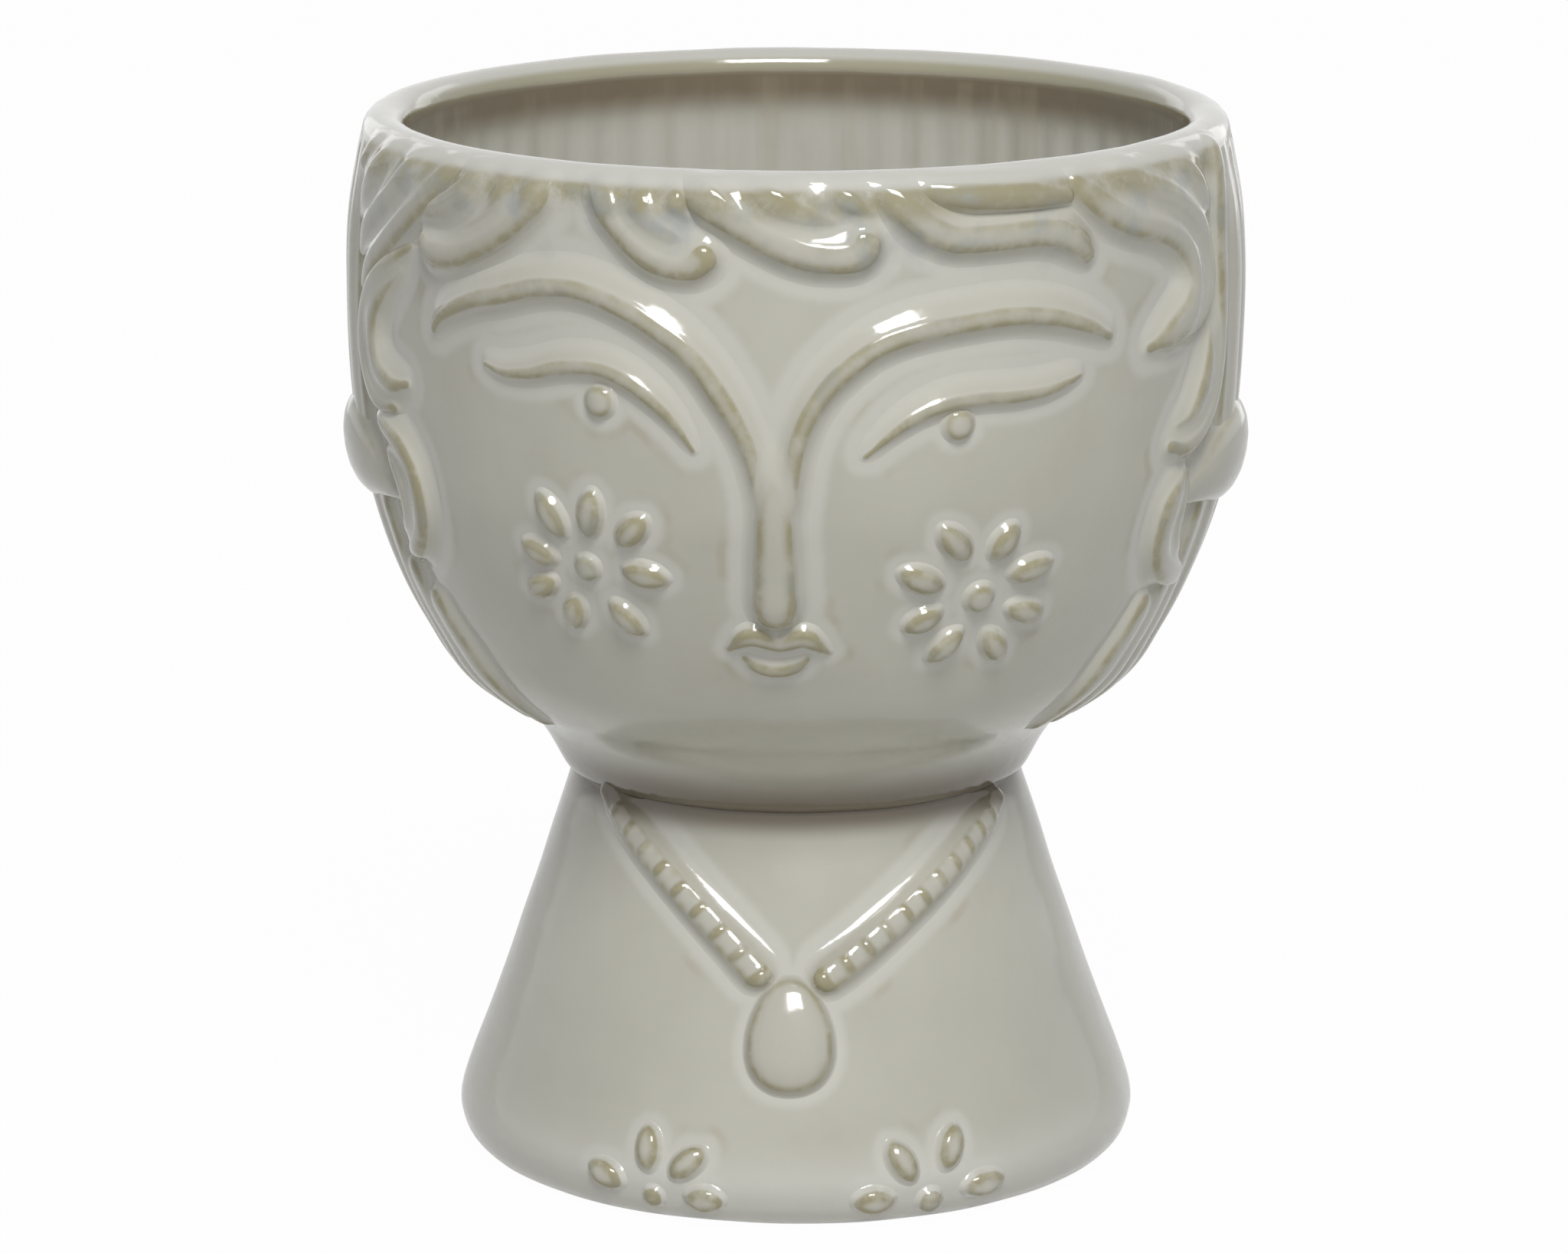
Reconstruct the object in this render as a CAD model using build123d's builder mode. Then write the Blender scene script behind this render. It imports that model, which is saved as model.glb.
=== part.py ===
from build123d import *
from math import cos, hypot, pi, radians, sin
import os

os.makedirs("parts", exist_ok=True)

# A glazed stoneware face vase. The bowl and the stand are slip-cast, luted together, and
# dressed with clay sprigs before one firing. The vase stands on z = 0 with its axis on Z and
# its face towards -Y. Left and right are the viewer's. Angles are in degrees round the axis,
# from the middle of the face, positive to the right.

# Whole vase
neck_radius = 42.2
slip_film = 0.35
nearness = 0.01

# Bowl
bowl_height = 118.0
bowl_radius = 77.2
bowl_wall = 8.0
bowl_floor = 9.0
bowl_floor_radius = 36.5
lip_bevel_height = 4.0
lip_bevel_depth = 3.4

# Stand
joint_height = 72.0
foot_radius = 61.2
foot_bevel_height = 6.0
foot_bevel_depth = 4.2
foot_ring_width = 4.6
waist_radius = 41.0
waist_drop = 6.0
stand_top_wall = 9.0

# Face sprigs
brow_width = 4.6
brow_relief = 2.4
nose_width = 7.8
nose_relief = 4.0
eyelid_width = 3.3
eyelid_relief = 1.8
pupil_radius = 3.0
pupil_relief = 1.7
lip_width = 4.4
lip_relief = 2.4
ear_height = 18.0
ear_relief = 5.9

# Hair
hair_relief = 2.7
hair_hem_share = 0.102
jaw_hair_share = 0.297
tress_count = 5
strands_per_tress = 5
jaw_strands = 3
strand_width = 5.4
ear_clearance = 0.3

# Flowers
cheek_flower_reach = 16.0
cheek_petal_width = 4.5
petal_relief = 2.0
petal_bevel = 1.0
foot_flower_reach = 9.5
foot_petal_width = 4.7
dot_radius = 2.8
dot_bevel = 0.8
petal_facets = 8
dot_facets = 8

# Necklace and pendant
rope_width = 5.8
rope_relief = 2.8
rope_lobe = 5.4
rope_bridge = 0.7
pendant_height = 21.3
pendant_width = 15.3
pendant_relief = 4.2
pendant_bevel = 2.4
pendant_facets = 16

overall_height = joint_height + bowl_height
wall_top = overall_height - lip_bevel_height
hair_hem_height = joint_height + bowl_height * hair_hem_share
jaw_hair_height = joint_height + bowl_height * jaw_hair_share

# The bowl's outside, from the joint up, as (radius share, height share) of the bowl
bowl_corner_shares = ((0.615, 0.076), (0.777, 0.161), (0.920, 0.339), (1, 0.559))
bowl_profile = [(neck_radius, joint_height)]
for radius_share, height_share in bowl_corner_shares:
    bowl_profile.append((bowl_radius * radius_share, joint_height + bowl_height * height_share))
bowl_profile.append((bowl_radius, wall_top))
bowl_corners = bowl_profile[1:-1]

stand_profile = [
    (foot_radius - foot_bevel_depth, 0),
    (foot_radius, foot_bevel_height),
    (waist_radius, joint_height - waist_drop),
    (neck_radius, joint_height),
]


def radius_at(profile, z):
    """Outside radius of a body at a height, straight between the corners of its profile."""
    for (low_radius, low), (high_radius, high) in zip(profile, profile[1:]):
        if z <= high:
            break
    share = min(max((z - low) / (high - low), 0), 1)
    return low_radius + (high_radius - low_radius) * share


def normal_at(profile, z):
    """Outward normal of a body at a height, as (radial, upward) parts."""
    run = radius_at(profile, z + nearness) - radius_at(profile, z - nearness)
    rise = nearness + nearness
    return rise / hypot(run, rise), -run / hypot(run, rise)


def on_body(profile, angle, z, lift):
    """The point at an angle and height on a body, lifted straight off its surface."""
    outward, upward = normal_at(profile, z)
    radius = radius_at(profile, z) + outward * lift
    turn = radians(angle)
    return Vector(radius * sin(turn), -radius * cos(turn), z + upward * lift)


def outward_at(profile, angle, z):
    """Unit vector that points straight off a body at an angle and height."""
    return on_body(profile, angle, z, 1) - on_body(profile, angle, z, 0)


def sprig_plane(profile, angle, z, heading):
    """Plane on the slip film under a small sprig, with its X axis at a heading from level."""
    outward = outward_at(profile, angle, z)
    level = Vector(cos(radians(angle)), sin(radians(angle)), 0)
    along = level * cos(radians(heading)) + outward.cross(level) * sin(radians(heading))
    return Plane(on_body(profile, angle, z, slip_film), x_dir=along, z_dir=outward)


def with_corners(profile, stations):
    """Add a station wherever a path crosses a corner of the profile that it lies on."""
    path = [stations[0]]
    for start, end in zip(stations, stations[1:]):
        crossed = [z for radius, z in profile if min(start[1], end[1]) < z < max(start[1], end[1])]
        for z in sorted(crossed, reverse=end[1] < start[1]):
            share = (z - start[1]) / (end[1] - start[1])
            path.append(tuple(a + (b - a) * share for a, b in zip(start, end)))
        path.append(end)
    return path


# Section of a ridge of clay, as (half width share, relief share) from edge to edge
ridge_shares = ((-1, 0), (-0.68, 0.75), (0, 1), (0.68, 0.75), (1, 0))


def press_ridge(profile, stations, width, relief, bed=slip_film):
    """Press a faceted ridge of clay along stations of (angle, height, width share, relief share)."""
    path = with_corners(profile, stations)
    feet = [on_body(profile, angle, z, bed) for angle, z, wide, high in path]
    sections = []
    for i, (angle, z, wide, high) in enumerate(path):
        along = (feet[min(i + 1, len(feet) - 1)] - feet[max(i - 1, 0)]).normalized()
        outward = outward_at(profile, angle, z)
        across = along.cross(outward).normalized()
        section = []
        for side_share, lift_share in ridge_shares:
            side = across * (width * wide * side_share / 2)
            section.append(feet[i] + side + outward * (relief * high * lift_share))
        sections.append(section)
    spans = []
    for near, far in zip(sections, sections[1:]):
        spans.append(ConvexPolyhedron(near + far, mode=Mode.PRIVATE))
    add(spans)


def bowl_path(station_shares):
    """Stations on the bowl, from (angle, height share of the bowl, size share)."""
    path = []
    for angle, height_share, size_share in station_shares:
        path.append((angle, joint_height + bowl_height * height_share, size_share, size_share))
    return path


def almond(length, width, facets):
    """Closed outline of an almond, round in the middle and drawn to a point at both ends."""
    outline = []
    for i in range(facets):
        share = 4 * i / facets
        along_share = 1 - share if share <= 2 else share - 3
        outline.append((length / 2 * along_share, width / 2 * sin(pi * share / 2)))
    return outline


# Cast bowl of the head, open at the rim, with its wall laid off square from its outside
bowl_cavity = [(0, joint_height + bowl_floor), (bowl_floor_radius, joint_height + bowl_floor)]
for (radius, z), (below, above) in zip(bowl_corners[2:], ((1, 2), (2, 3))):
    lower = normal_at(bowl_profile, (z + bowl_corners[below][1]) / 2)
    upper = normal_at(bowl_profile, z + lip_bevel_height)
    stretch = bowl_wall / (1 + lower[0] * upper[0] + lower[1] * upper[1])
    bowl_cavity.append((radius - (lower[0] + upper[0]) * stretch, z - (lower[1] + upper[1]) * stretch))
bowl_cavity.append((bowl_radius - bowl_wall, overall_height))

with BuildPart() as head_bowl:
    with BuildSketch(Plane.XZ):
        with BuildLine():
            lip = (bowl_radius - lip_bevel_depth, overall_height)
            Polyline((0, joint_height), *bowl_profile, lip, *reversed(bowl_cavity), close=True)
        make_face()
    revolve(axis=Axis.Z)
head_bowl.part.label = "head_bowl"
export_step(head_bowl.part, "parts/head_bowl.step")

# Cast stand, a hollow pedestal that stands on a bare ring and is open below
with BuildPart() as neck_stand:
    with BuildSketch(Plane.XZ):
        with BuildLine():
            Polyline(
                *stand_profile,
                (neck_radius - stand_top_wall, joint_height),
                (foot_radius - foot_bevel_depth - foot_ring_width, 0),
                close=True,
            )
        make_face()
    revolve(axis=Axis.Z)
neck_stand.part.label = "neck_stand"
export_step(neck_stand.part, "parts/neck_stand.step")

# Nose, a straight ridge that swells to a round tip
nose_shares = (
    (-0.7, 0.636, 0.45), (-0.7, 0.559, 0.8), (-0.7, 0.475, 0.95), (-0.7, 0.403, 1.1),
    (-0.7, 0.361, 1.2), (-0.7, 0.339, 0.8),
)
with BuildPart() as nose:
    press_ridge(bowl_profile, bowl_path(nose_shares), nose_width, nose_relief)
nose.part.label = "nose"
export_step(nose.part, "parts/nose.step")

# Brows, which sweep down from the temples and die into the sides of the nose
brow_shares = {
    "left_brow": (
        (-51, 0.731, 0.5), (-48.4, 0.758, 0.75), (-43, 0.786, 0.9), (-37.5, 0.803, 1), (-32, 0.82, 1),
        (-26, 0.823, 1), (-19.6, 0.801, 1), (-13.6, 0.762, 1), (-10, 0.725, 1), (-7, 0.676, 1),
        (-5, 0.636, 0.9), (-3.4, 0.589, 0.7),
    ),
    "right_brow": (
        (45.1, 0.736, 0.5), (41.3, 0.757, 0.8), (35.5, 0.778, 0.95), (29.5, 0.786, 1), (23, 0.781, 1),
        (17, 0.771, 1), (11.8, 0.751, 1), (7.4, 0.714, 1), (4.6, 0.676, 0.95), (2.6, 0.636, 0.85),
        (1.7, 0.589, 0.7),
    ),
}
for name, station_shares in brow_shares.items():
    with BuildPart() as brow:
        press_ridge(bowl_profile, bowl_path(station_shares), brow_width, brow_relief)
        add(nose.part, mode=Mode.SUBTRACT)
        if name == "right_brow":
            add(left_brow_part, mode=Mode.SUBTRACT)
    brow.part.label = name
    export_step(brow.part, f"parts/{name}.step")
    left_brow_part = brow.part

# Heavy eyelids
eyelid_shares = {
    "left_eyelid": (
        (-41, 0.696, 0.4), (-37.5, 0.689, 0.7), (-33, 0.695, 0.9), (-29.1, 0.707, 1), (-25.6, 0.712, 1),
        (-22, 0.709, 1), (-18.7, 0.693, 1), (-15.5, 0.666, 0.9), (-13, 0.636, 0.7), (-10.9, 0.598, 0.35),
    ),
    "right_eyelid": (
        (10.6, 0.592, 0.4), (14.4, 0.63, 0.8), (18, 0.654, 0.95), (22, 0.667, 1), (26, 0.67, 1),
        (30.1, 0.669, 1), (34.6, 0.672, 0.9), (38.2, 0.68, 0.7), (40.4, 0.686, 0.4),
    ),
}
eyelids = []
for name, station_shares in eyelid_shares.items():
    with BuildPart() as eyelid:
        press_ridge(bowl_profile, bowl_path(station_shares), eyelid_width, eyelid_relief)
    eyelid.part.label = name
    export_step(eyelid.part, f"parts/{name}.step")
    eyelids.append(eyelid.part)


def press_dot(profile, angle, z, radius, relief):
    """Press a small round pellet of clay on a body."""
    with BuildSketch(sprig_plane(profile, angle, z, 0)) as disc:
        RegularPolygon(radius, dot_facets)
    extrude(disc.sketch, amount=relief)
    top = faces(Select.LAST).sort_by(Axis(on_body(profile, angle, z, 0), outward_at(profile, angle, z)))
    chamfer(top[-1].edges(), length=dot_bevel)


# Pupils, two pellets that hang under the lids and are trimmed where a lid comes down on them
pupil_shares = {"left_pupil": (-23.2, 0.657), "right_pupil": (22.6, 0.628)}
for name, (angle, height_share) in pupil_shares.items():
    with BuildPart() as pupil:
        press_dot(bowl_profile, angle, joint_height + bowl_height * height_share, pupil_radius, pupil_relief)
        add(eyelids, mode=Mode.SUBTRACT)
    pupil.part.label = name
    export_step(pupil.part, f"parts/{name}.step")

# Lips, a bow above and a short smile below
lip_shares = {
    "upper_lip": (
        (-7.6, 0.296, 0.35), (-5.6, 0.314, 0.85), (-4, 0.321, 1), (-2, 0.314, 0.9), (-0.4, 0.308, 0.8),
        (1.2, 0.313, 0.9), (3.1, 0.32, 1), (4.8, 0.308, 0.8), (6.6, 0.292, 0.35),
    ),
    "lower_lip": (
        (-5.6, 0.281, 0.45), (-3.6, 0.267, 0.8), (-0.9, 0.26, 0.85), (1.8, 0.266, 0.8), (3.7, 0.279, 0.45),
    ),
}
for name, station_shares in lip_shares.items():
    with BuildPart() as mouth:
        press_ridge(bowl_profile, bowl_path(station_shares), lip_width, lip_relief)
        if name == "lower_lip":
            add(upper_lip_part, mode=Mode.SUBTRACT)
    mouth.part.label = name
    export_step(mouth.part, f"parts/{name}.step")
    upper_lip_part = mouth.part

# Ears, long leaves that open backwards over the side hair: angle, height, width and relief shares
ear_shares = (
    (65, 0.455, 0.15, 0.3), (70, 0.475, 0.5, 0.45), (76, 0.497, 0.9, 0.7), (82, 0.492, 1, 0.9),
    (88, 0.487, 1, 1), (93, 0.483, 0.95, 0.95), (98, 0.483, 0.75, 0.6),
)
ear_seats = {}
for name, side in (("left_ear", -1), ("right_ear", 1)):
    path = []
    for angle, height_share, wide, high in ear_shares:
        path.append((side * angle, joint_height + bowl_height * height_share, wide, high))
    with BuildPart() as ear:
        press_ridge(bowl_profile, path, ear_height, ear_relief)
    ear.part.label = name
    export_step(ear.part, f"parts/{name}.step")
    # The hair is cut away under the ear, down to the wall and a little wider than the ear
    with BuildPart() as seat:
        press_ridge(bowl_profile, path, ear_height + ear_clearance + ear_clearance, ear_relief * 2, 0)
    ear_seats[name] = seat.part

# Relief shares of combed hair: in the valleys, at the hem, and just under the lip
valley_relief_share = 0.55
hem_relief_share = 0.4
lip_relief_share = 0.8


def strand_section(profile, edges, relief, bed):
    """Section of one strand between two edges, each an (angle, height) on the body."""
    (start, start_z), (end, end_z) = edges
    valley = bed + relief * valley_relief_share
    return [
        on_body(profile, start, start_z, bed),
        on_body(profile, start, start_z, valley),
        on_body(profile, (start + end) / 2, (start_z + end_z) / 2, bed + relief),
        on_body(profile, end, end_z, valley),
        on_body(profile, end, end_z, bed),
    ]


def press_strand(sections):
    """Span a strand of clay over its sections."""
    add([ConvexPolyhedron(near + far, mode=Mode.PRIVATE) for near, far in zip(sections, sections[1:])])


def comb_down(strand_count, levels):
    """Comb strands side by side down the bowl, between levels of (height, first, last, relief share)."""
    for i in range(strand_count):
        sections = []
        for z, first, last, relief_share in levels:
            step = (last - first) / strand_count
            edges = ((first + step * i, z), (first + step * (i + 1), z))
            sections.append(strand_section(bowl_profile, edges, hair_relief * relief_share, slip_film))
        press_strand(sections)


def comb_lock(station_shares, strands, relief, bed):
    """Comb a lock: strands side by side along one guide, each (edge, first station, last station).

    The edge is counted in strand widths to the right of someone who walks along the guide.
    """
    stations = bowl_path(station_shares)
    path = with_corners(bowl_profile, stations)
    crossings = []
    for i, (angle, z, size, same) in enumerate(path):
        (start, low, *rest), (end, high, *rest) = path[max(i - 1, 0)], path[min(i + 1, len(path) - 1)]
        level = radians(end - start) * radius_at(bowl_profile, z)
        reach = hypot(level, high - low)
        crossings.append(((high - low) / reach, -level / reach))
    for edge, first, last in strands:
        sections = []
        for i in range(path.index(stations[first]), path.index(stations[last]) + 1):
            angle, z, size, same = path[i]
            edges = []
            for side in (edge, edge + 1):
                level = crossings[i][0] * side * strand_width * size
                rise = crossings[i][1] * side * strand_width * size
                edges.append((angle + level / radians(radius_at(bowl_profile, z)), z + rise))
            sections.append(strand_section(bowl_profile, edges, relief * min(size, 1), bed))
        press_strand(sections)


# Combed hair at the sides and back, which runs forward under the ears to the jaw
hair_start = 76.0
jaw_edge_shares = (0.70, 0.73, 0.80)
tress_sweep = (360 - hair_start - hair_start) / tress_count
for i in range(tress_count):
    first = hair_start + tress_sweep * i
    last = first + tress_sweep
    levels = [(hair_hem_height, first, last, hem_relief_share)]
    for radius, z in bowl_corners[1:]:
        levels.append((z, first, last, 1))
    levels.append((wall_top, first, last, lip_relief_share))
    with BuildPart() as tress:
        comb_down(strands_per_tress, levels)
        if i in (0, tress_count - 1):
            jaw_levels = []
            heights = (hair_hem_height, bowl_corners[1][1], jaw_hair_height)
            for z, edge_share, relief_share in zip(heights, jaw_edge_shares, (hem_relief_share, 1, 1)):
                edge = hair_start * edge_share
                ends = (edge, hair_start) if i == 0 else (360 - hair_start, 360 - edge)
                jaw_levels.append((z, *ends, relief_share))
            comb_down(jaw_strands, jaw_levels)
            add(ear_seats["right_ear" if i == 0 else "left_ear"], mode=Mode.SUBTRACT)
    tress.part.label = f"hair_tress_{i + 1}"
    export_step(tress.part, f"parts/hair_tress_{i + 1}.step")

# Locks of the fringe and temples. The first of each pair is the guide, and the second its strands
lock_shares = {
    "centre_forelock": (
        ((-13.5, 1.0, 1.1), (-7, 0.945, 1.15), (-1, 0.905, 1.15), (3, 0.886, 1.15), (7, 0.88, 1.1),
         (10, 0.888, 0.95), (11, 0.907, 0.6)),
        ((-0.5, 0, 6), (-1.5, 0, 4), (-2.5, 2, 4)),
    ),
    "centre_left_forelock": (
        ((-24.6, 1.0, 1), (-21, 0.93, 1), (-17.5, 0.885, 1), (-13.5, 0.866, 1), (-10.8, 0.869, 0.9),
         (-9.4, 0.888, 0.6)),
        ((-0.5, 0, 5), (-1.5, 0, 3), (-2.5, 0, 2)),
    ),
    "right_forelock": (
        ((11.5, 1.0, 0.9), (15.5, 0.947, 0.9), (18.5, 0.92, 1), (22, 0.903, 1), (27.5, 0.901, 1),
         (33, 0.903, 1), (36.5, 0.897, 1), (39.8, 0.877, 0.9), (41.4, 0.852, 0.5)),
        ((-0.5, 0, 8),),
    ),
    "right_fringe_strand": (
        ((17, 0.99, 0.7), (22, 0.969, 0.9), (28, 0.958, 1), (33, 0.953, 1), (38, 0.946, 0.6)),
        ((-0.5, 0, 4),),
    ),
    "left_forelock": (
        ((-30.5, 1.0, 1), (-33, 0.94, 1), (-37.5, 0.897, 1), (-41.5, 0.871, 1), (-46, 0.85, 1),
         (-50.3, 0.843, 0.9), (-52.8, 0.864, 0.6)),
        ((-0.5, 0, 6), (0.5, 0, 5), (1.5, 0, 4)),
    ),
    "left_temple_hair": (
        ((-44, 1.0, 1), (-50, 0.94, 1), (-56.5, 0.888, 1), (-63, 0.837, 1), (-67, 0.805, 0.95),
         (-70.5, 0.775, 0.7)),
        ((-0.5, 0, 5), (0.5, 0, 5), (1.5, 0, 4), (2.5, 1, 3)),
    ),
    "left_temple_curl": (
        ((-58, 0.825, 0.6), (-64.5, 0.78, 1), (-70, 0.727, 1), (-71.6, 0.675, 1), (-70, 0.628, 1),
         (-66.5, 0.6, 0.9), (-62, 0.596, 0.6)),
        ((-0.5, 0, 6), (-1.5, 0, 6)),
    ),
    "left_jaw_curl": (
        ((-69, 0.57, 0.6), (-61.5, 0.549, 0.85), (-57.8, 0.515, 0.9), (-56.8, 0.47, 0.9),
         (-58.2, 0.422, 0.9), (-61.9, 0.385, 0.85), (-66.8, 0.368, 0.55)),
        ((-0.5, 0, 6), (0.5, 0, 6)),
    ),
    "right_temple_lock": (
        ((40, 0.962, 1), (46.5, 0.91, 1.1), (54, 0.884, 1.1), (58, 0.862, 1.05), (60.6, 0.84, 1),
         (62.6, 0.79, 1), (61, 0.751, 0.95), (57, 0.725, 0.8), (53, 0.707, 0.5)),
        ((-0.5, 0, 8), (-1.5, 0, 6), (-2.5, 1, 3)),
    ),
    "right_side_lock": (
        ((72, 1.0, 0.9), (72.2, 0.86, 0.9), (72.2, 0.729, 0.9), (71.4, 0.657, 0.9), (69.5, 0.602, 0.9),
         (66.5, 0.566, 0.9), (62.5, 0.546, 0.8), (58.6, 0.549, 0.5)),
        ((-0.5, 0, 7), (0.5, 3, 6)),
    ),
    "right_jaw_lock": (
        ((63.6, 0.497, 0.7), (60.8, 0.462, 1), (60.3, 0.415, 1), (62.3, 0.373, 1), (66.5, 0.346, 0.95),
         (71, 0.332, 0.7)),
        ((-0.5, 0, 5), (-1.5, 2, 5)),
    ),
}
seats = list(ear_seats.values())
for name, (guide, strands) in lock_shares.items():
    with BuildPart() as lock:
        comb_lock(guide, strands, hair_relief, slip_film)
        split(bisect_by=Plane.XY.offset(wall_top), keep=Keep.BOTTOM)
        add(seats, mode=Mode.SUBTRACT)
    lock.part.label = name
    export_step(lock.part, f"parts/{name}.step")
    with BuildPart() as seat:
        comb_lock(guide, strands, hair_relief * 2, 0)
    seats.append(seat.part)


def press_petal(profile, angle, z, heading, length, width):
    """Press one almond petal on a body, with its edge bevelled."""
    with BuildSketch(sprig_plane(profile, angle, z, heading)) as leaf:
        with BuildLine():
            Polyline(*almond(length, width, petal_facets), close=True)
        make_face()
    extrude(leaf.sketch, amount=petal_relief)
    top = faces(Select.LAST).sort_by(Axis(on_body(profile, angle, z, 0), outward_at(profile, angle, z)))
    chamfer(top[-1].edges(), length=petal_bevel)


def press_flower(name, profile, angle, z, reach, width, petals):
    """Press a flower: a pellet, and petals at (across, up, heading, length) shares of its reach."""
    degrees_per_length = 180 / (pi * radius_at(profile, z))
    for i, (across_share, up_share, heading, length_share) in enumerate(petals):
        petal_angle = angle + reach * across_share * degrees_per_length
        petal_height = z + reach * up_share
        with BuildPart() as petal:
            press_petal(profile, petal_angle, petal_height, heading, reach * length_share, width)
        petal.part.label = f"{name}_petal_{i + 1}"
        export_step(petal.part, f"parts/{name}_petal_{i + 1}.step")
    with BuildPart() as centre:
        press_dot(profile, angle, z, dot_radius, petal_relief)
    centre.part.label = f"{name}_flower_centre"
    export_step(centre.part, f"parts/{name}_flower_centre.step")


# Flowers of eight petals on the cheeks
left_cheek_shares = (
    (-0.353, 0.578, 118.8, 0.63), (0.122, 0.644, 81.5, 0.63), (0.584, 0.494, 45.5, 0.55),
    (0.681, -0.016, -8.9, 0.61), (0.394, -0.575, -47.6, 0.59), (-0.278, -0.581, -114, 0.53),
    (-0.647, -0.291, -153.7, 0.53), (-0.588, 0.125, 159, 0.53),
)
right_cheek_shares = (
    (-0.366, 0.694, 129.5, 0.6), (0.188, 0.656, 60.4, 0.53), (0.575, 0.291, 11, 0.63),
    (0.616, -0.228, -17, 0.61), (0.309, -0.634, -51, 0.61), (-0.322, -0.575, -134, 0.59),
    (-0.625, -0.222, -153, 0.53), (-0.694, 0.281, 154, 0.63),
)
cheek_height_shares = (0.409, 0.366)
left_cheek_height = joint_height + bowl_height * cheek_height_shares[0]
right_cheek_height = joint_height + bowl_height * cheek_height_shares[1]
press_flower("left_cheek", bowl_profile, -26.9, left_cheek_height, cheek_flower_reach, cheek_petal_width,
             left_cheek_shares)
press_flower("right_cheek", bowl_profile, 27.7, right_cheek_height, cheek_flower_reach, cheek_petal_width,
             right_cheek_shares)

# Half flowers that rise from the foot
left_foot_shares = (
    (-0.92, 0.39, 160, 0.8), (-0.14, 0.95, 98, 0.86), (0.66, 0.76, 40, 0.84), (1.0, 0.1, 0, 0.86),
)
right_foot_shares = (
    (-1.05, 0.1, 0, 0.86), (-0.53, 0.82, 118, 0.86), (0.46, 0.98, 66, 0.9), (1.08, 0.2, 0, 0.95),
)
foot_flower_height_share = 0.076
foot_flower_height = joint_height * foot_flower_height_share
press_flower("left_foot", stand_profile, -22.2, foot_flower_height, foot_flower_reach, foot_petal_width,
             left_foot_shares)
press_flower("right_foot", stand_profile, 24.5, foot_flower_height, foot_flower_reach, foot_petal_width,
             right_foot_shares)

# Necklace, two twisted ropes from the crease of the neck down to the pendant, as angle and height
# share of the stand, bedded straight across the hollow of the waist
rope_profile = [
    (foot_radius, foot_bevel_height),
    (waist_radius + rope_bridge, joint_height - waist_drop),
    (neck_radius + rope_bridge, joint_height),
]
necklace_shares = {
    "left_necklace": ((-51, 0.962), (-39.8, 0.895), (-30.6, 0.833), (-21.4, 0.758), (-12.2, 0.672),
                      (-5.3, 0.605)),
    "right_necklace": ((60, 0.945), (47.5, 0.875), (38.3, 0.817), (29.1, 0.753), (19.9, 0.684),
                       (11.7, 0.62), (7.5, 0.598)),
}
groove_share = 0.72
necklaces = []
for name, station_shares in necklace_shares.items():
    path = [(angle, joint_height * height_share) for angle, height_share in station_shares]
    stations = []
    for (start, low), (end, high) in zip(path, path[1:]):
        reach = hypot(radians(end - start) * radius_at(rope_profile, low), high - low)
        lobes = max(round(reach / rope_lobe), 1)
        for i in range(2 * lobes):
            share = i / (2 * lobes)
            size_share = groove_share if i % 2 == 0 else 1
            stations.append((start + (end - start) * share, low + (high - low) * share,
                             size_share, size_share))
    stations.append((*path[-1], groove_share, groove_share))
    with BuildPart() as necklace:
        press_ridge(rope_profile, stations, rope_width, rope_relief)
    necklace.part.label = name
    export_step(necklace.part, f"parts/{name}.step")
    necklaces.append(necklace.part)

# Pendant, a domed drop with its small end up
pendant_angle = 0.8
pendant_height_share = 0.467
pendant_draw_share = 0.16
with BuildPart() as pendant:
    pendant_place = sprig_plane(stand_profile, pendant_angle, joint_height * pendant_height_share, 0)
    with BuildSketch(pendant_place):
        with BuildLine():
            outline = []
            for i in range(pendant_facets):
                turn = 2 * pi * i / pendant_facets
                narrowing = 1 - pendant_draw_share * sin(turn)
                outline.append((pendant_width / 2 * cos(turn) * narrowing, pendant_height / 2 * sin(turn)))
            Polyline(*outline, close=True)
        make_face()
    extrude(amount=pendant_relief)
    top = faces().sort_by(Axis(pendant_place.origin, pendant_place.z_dir))
    chamfer(top[-1].edges(), length=pendant_bevel)
    add(necklaces, mode=Mode.SUBTRACT)
pendant.part.label = "pendant"
export_step(pendant.part, "parts/pendant.step")
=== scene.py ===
"""A glazed stoneware face vase: a cast bowl and stand with clay sprigs pressed on."""
import math

import bpy
import numpy as np
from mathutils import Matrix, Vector
from mathutils.bvhtree import BVHTree


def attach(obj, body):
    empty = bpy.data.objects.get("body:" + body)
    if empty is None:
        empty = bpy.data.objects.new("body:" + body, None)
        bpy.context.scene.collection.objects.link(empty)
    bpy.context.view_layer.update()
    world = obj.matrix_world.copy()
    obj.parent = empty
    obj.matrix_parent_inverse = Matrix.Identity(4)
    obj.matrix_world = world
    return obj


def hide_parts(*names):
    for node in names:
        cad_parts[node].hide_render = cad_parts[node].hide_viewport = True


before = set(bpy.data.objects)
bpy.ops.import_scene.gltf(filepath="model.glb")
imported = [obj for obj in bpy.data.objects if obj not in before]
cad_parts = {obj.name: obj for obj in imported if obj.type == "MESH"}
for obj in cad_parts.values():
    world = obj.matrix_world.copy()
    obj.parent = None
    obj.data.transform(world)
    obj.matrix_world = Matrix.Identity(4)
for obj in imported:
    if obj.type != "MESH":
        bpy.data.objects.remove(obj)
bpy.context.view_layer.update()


# The bowl of the head is slip-cast stoneware about 8 mm thick, with a flat floor and a thick
# rounded lip. It is one turned shape: a meridian swept round the axis, a little uneven from the
# mould, under a glossy pale glaze that breaks to straw at the lip, with painted shade at the neck.

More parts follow.
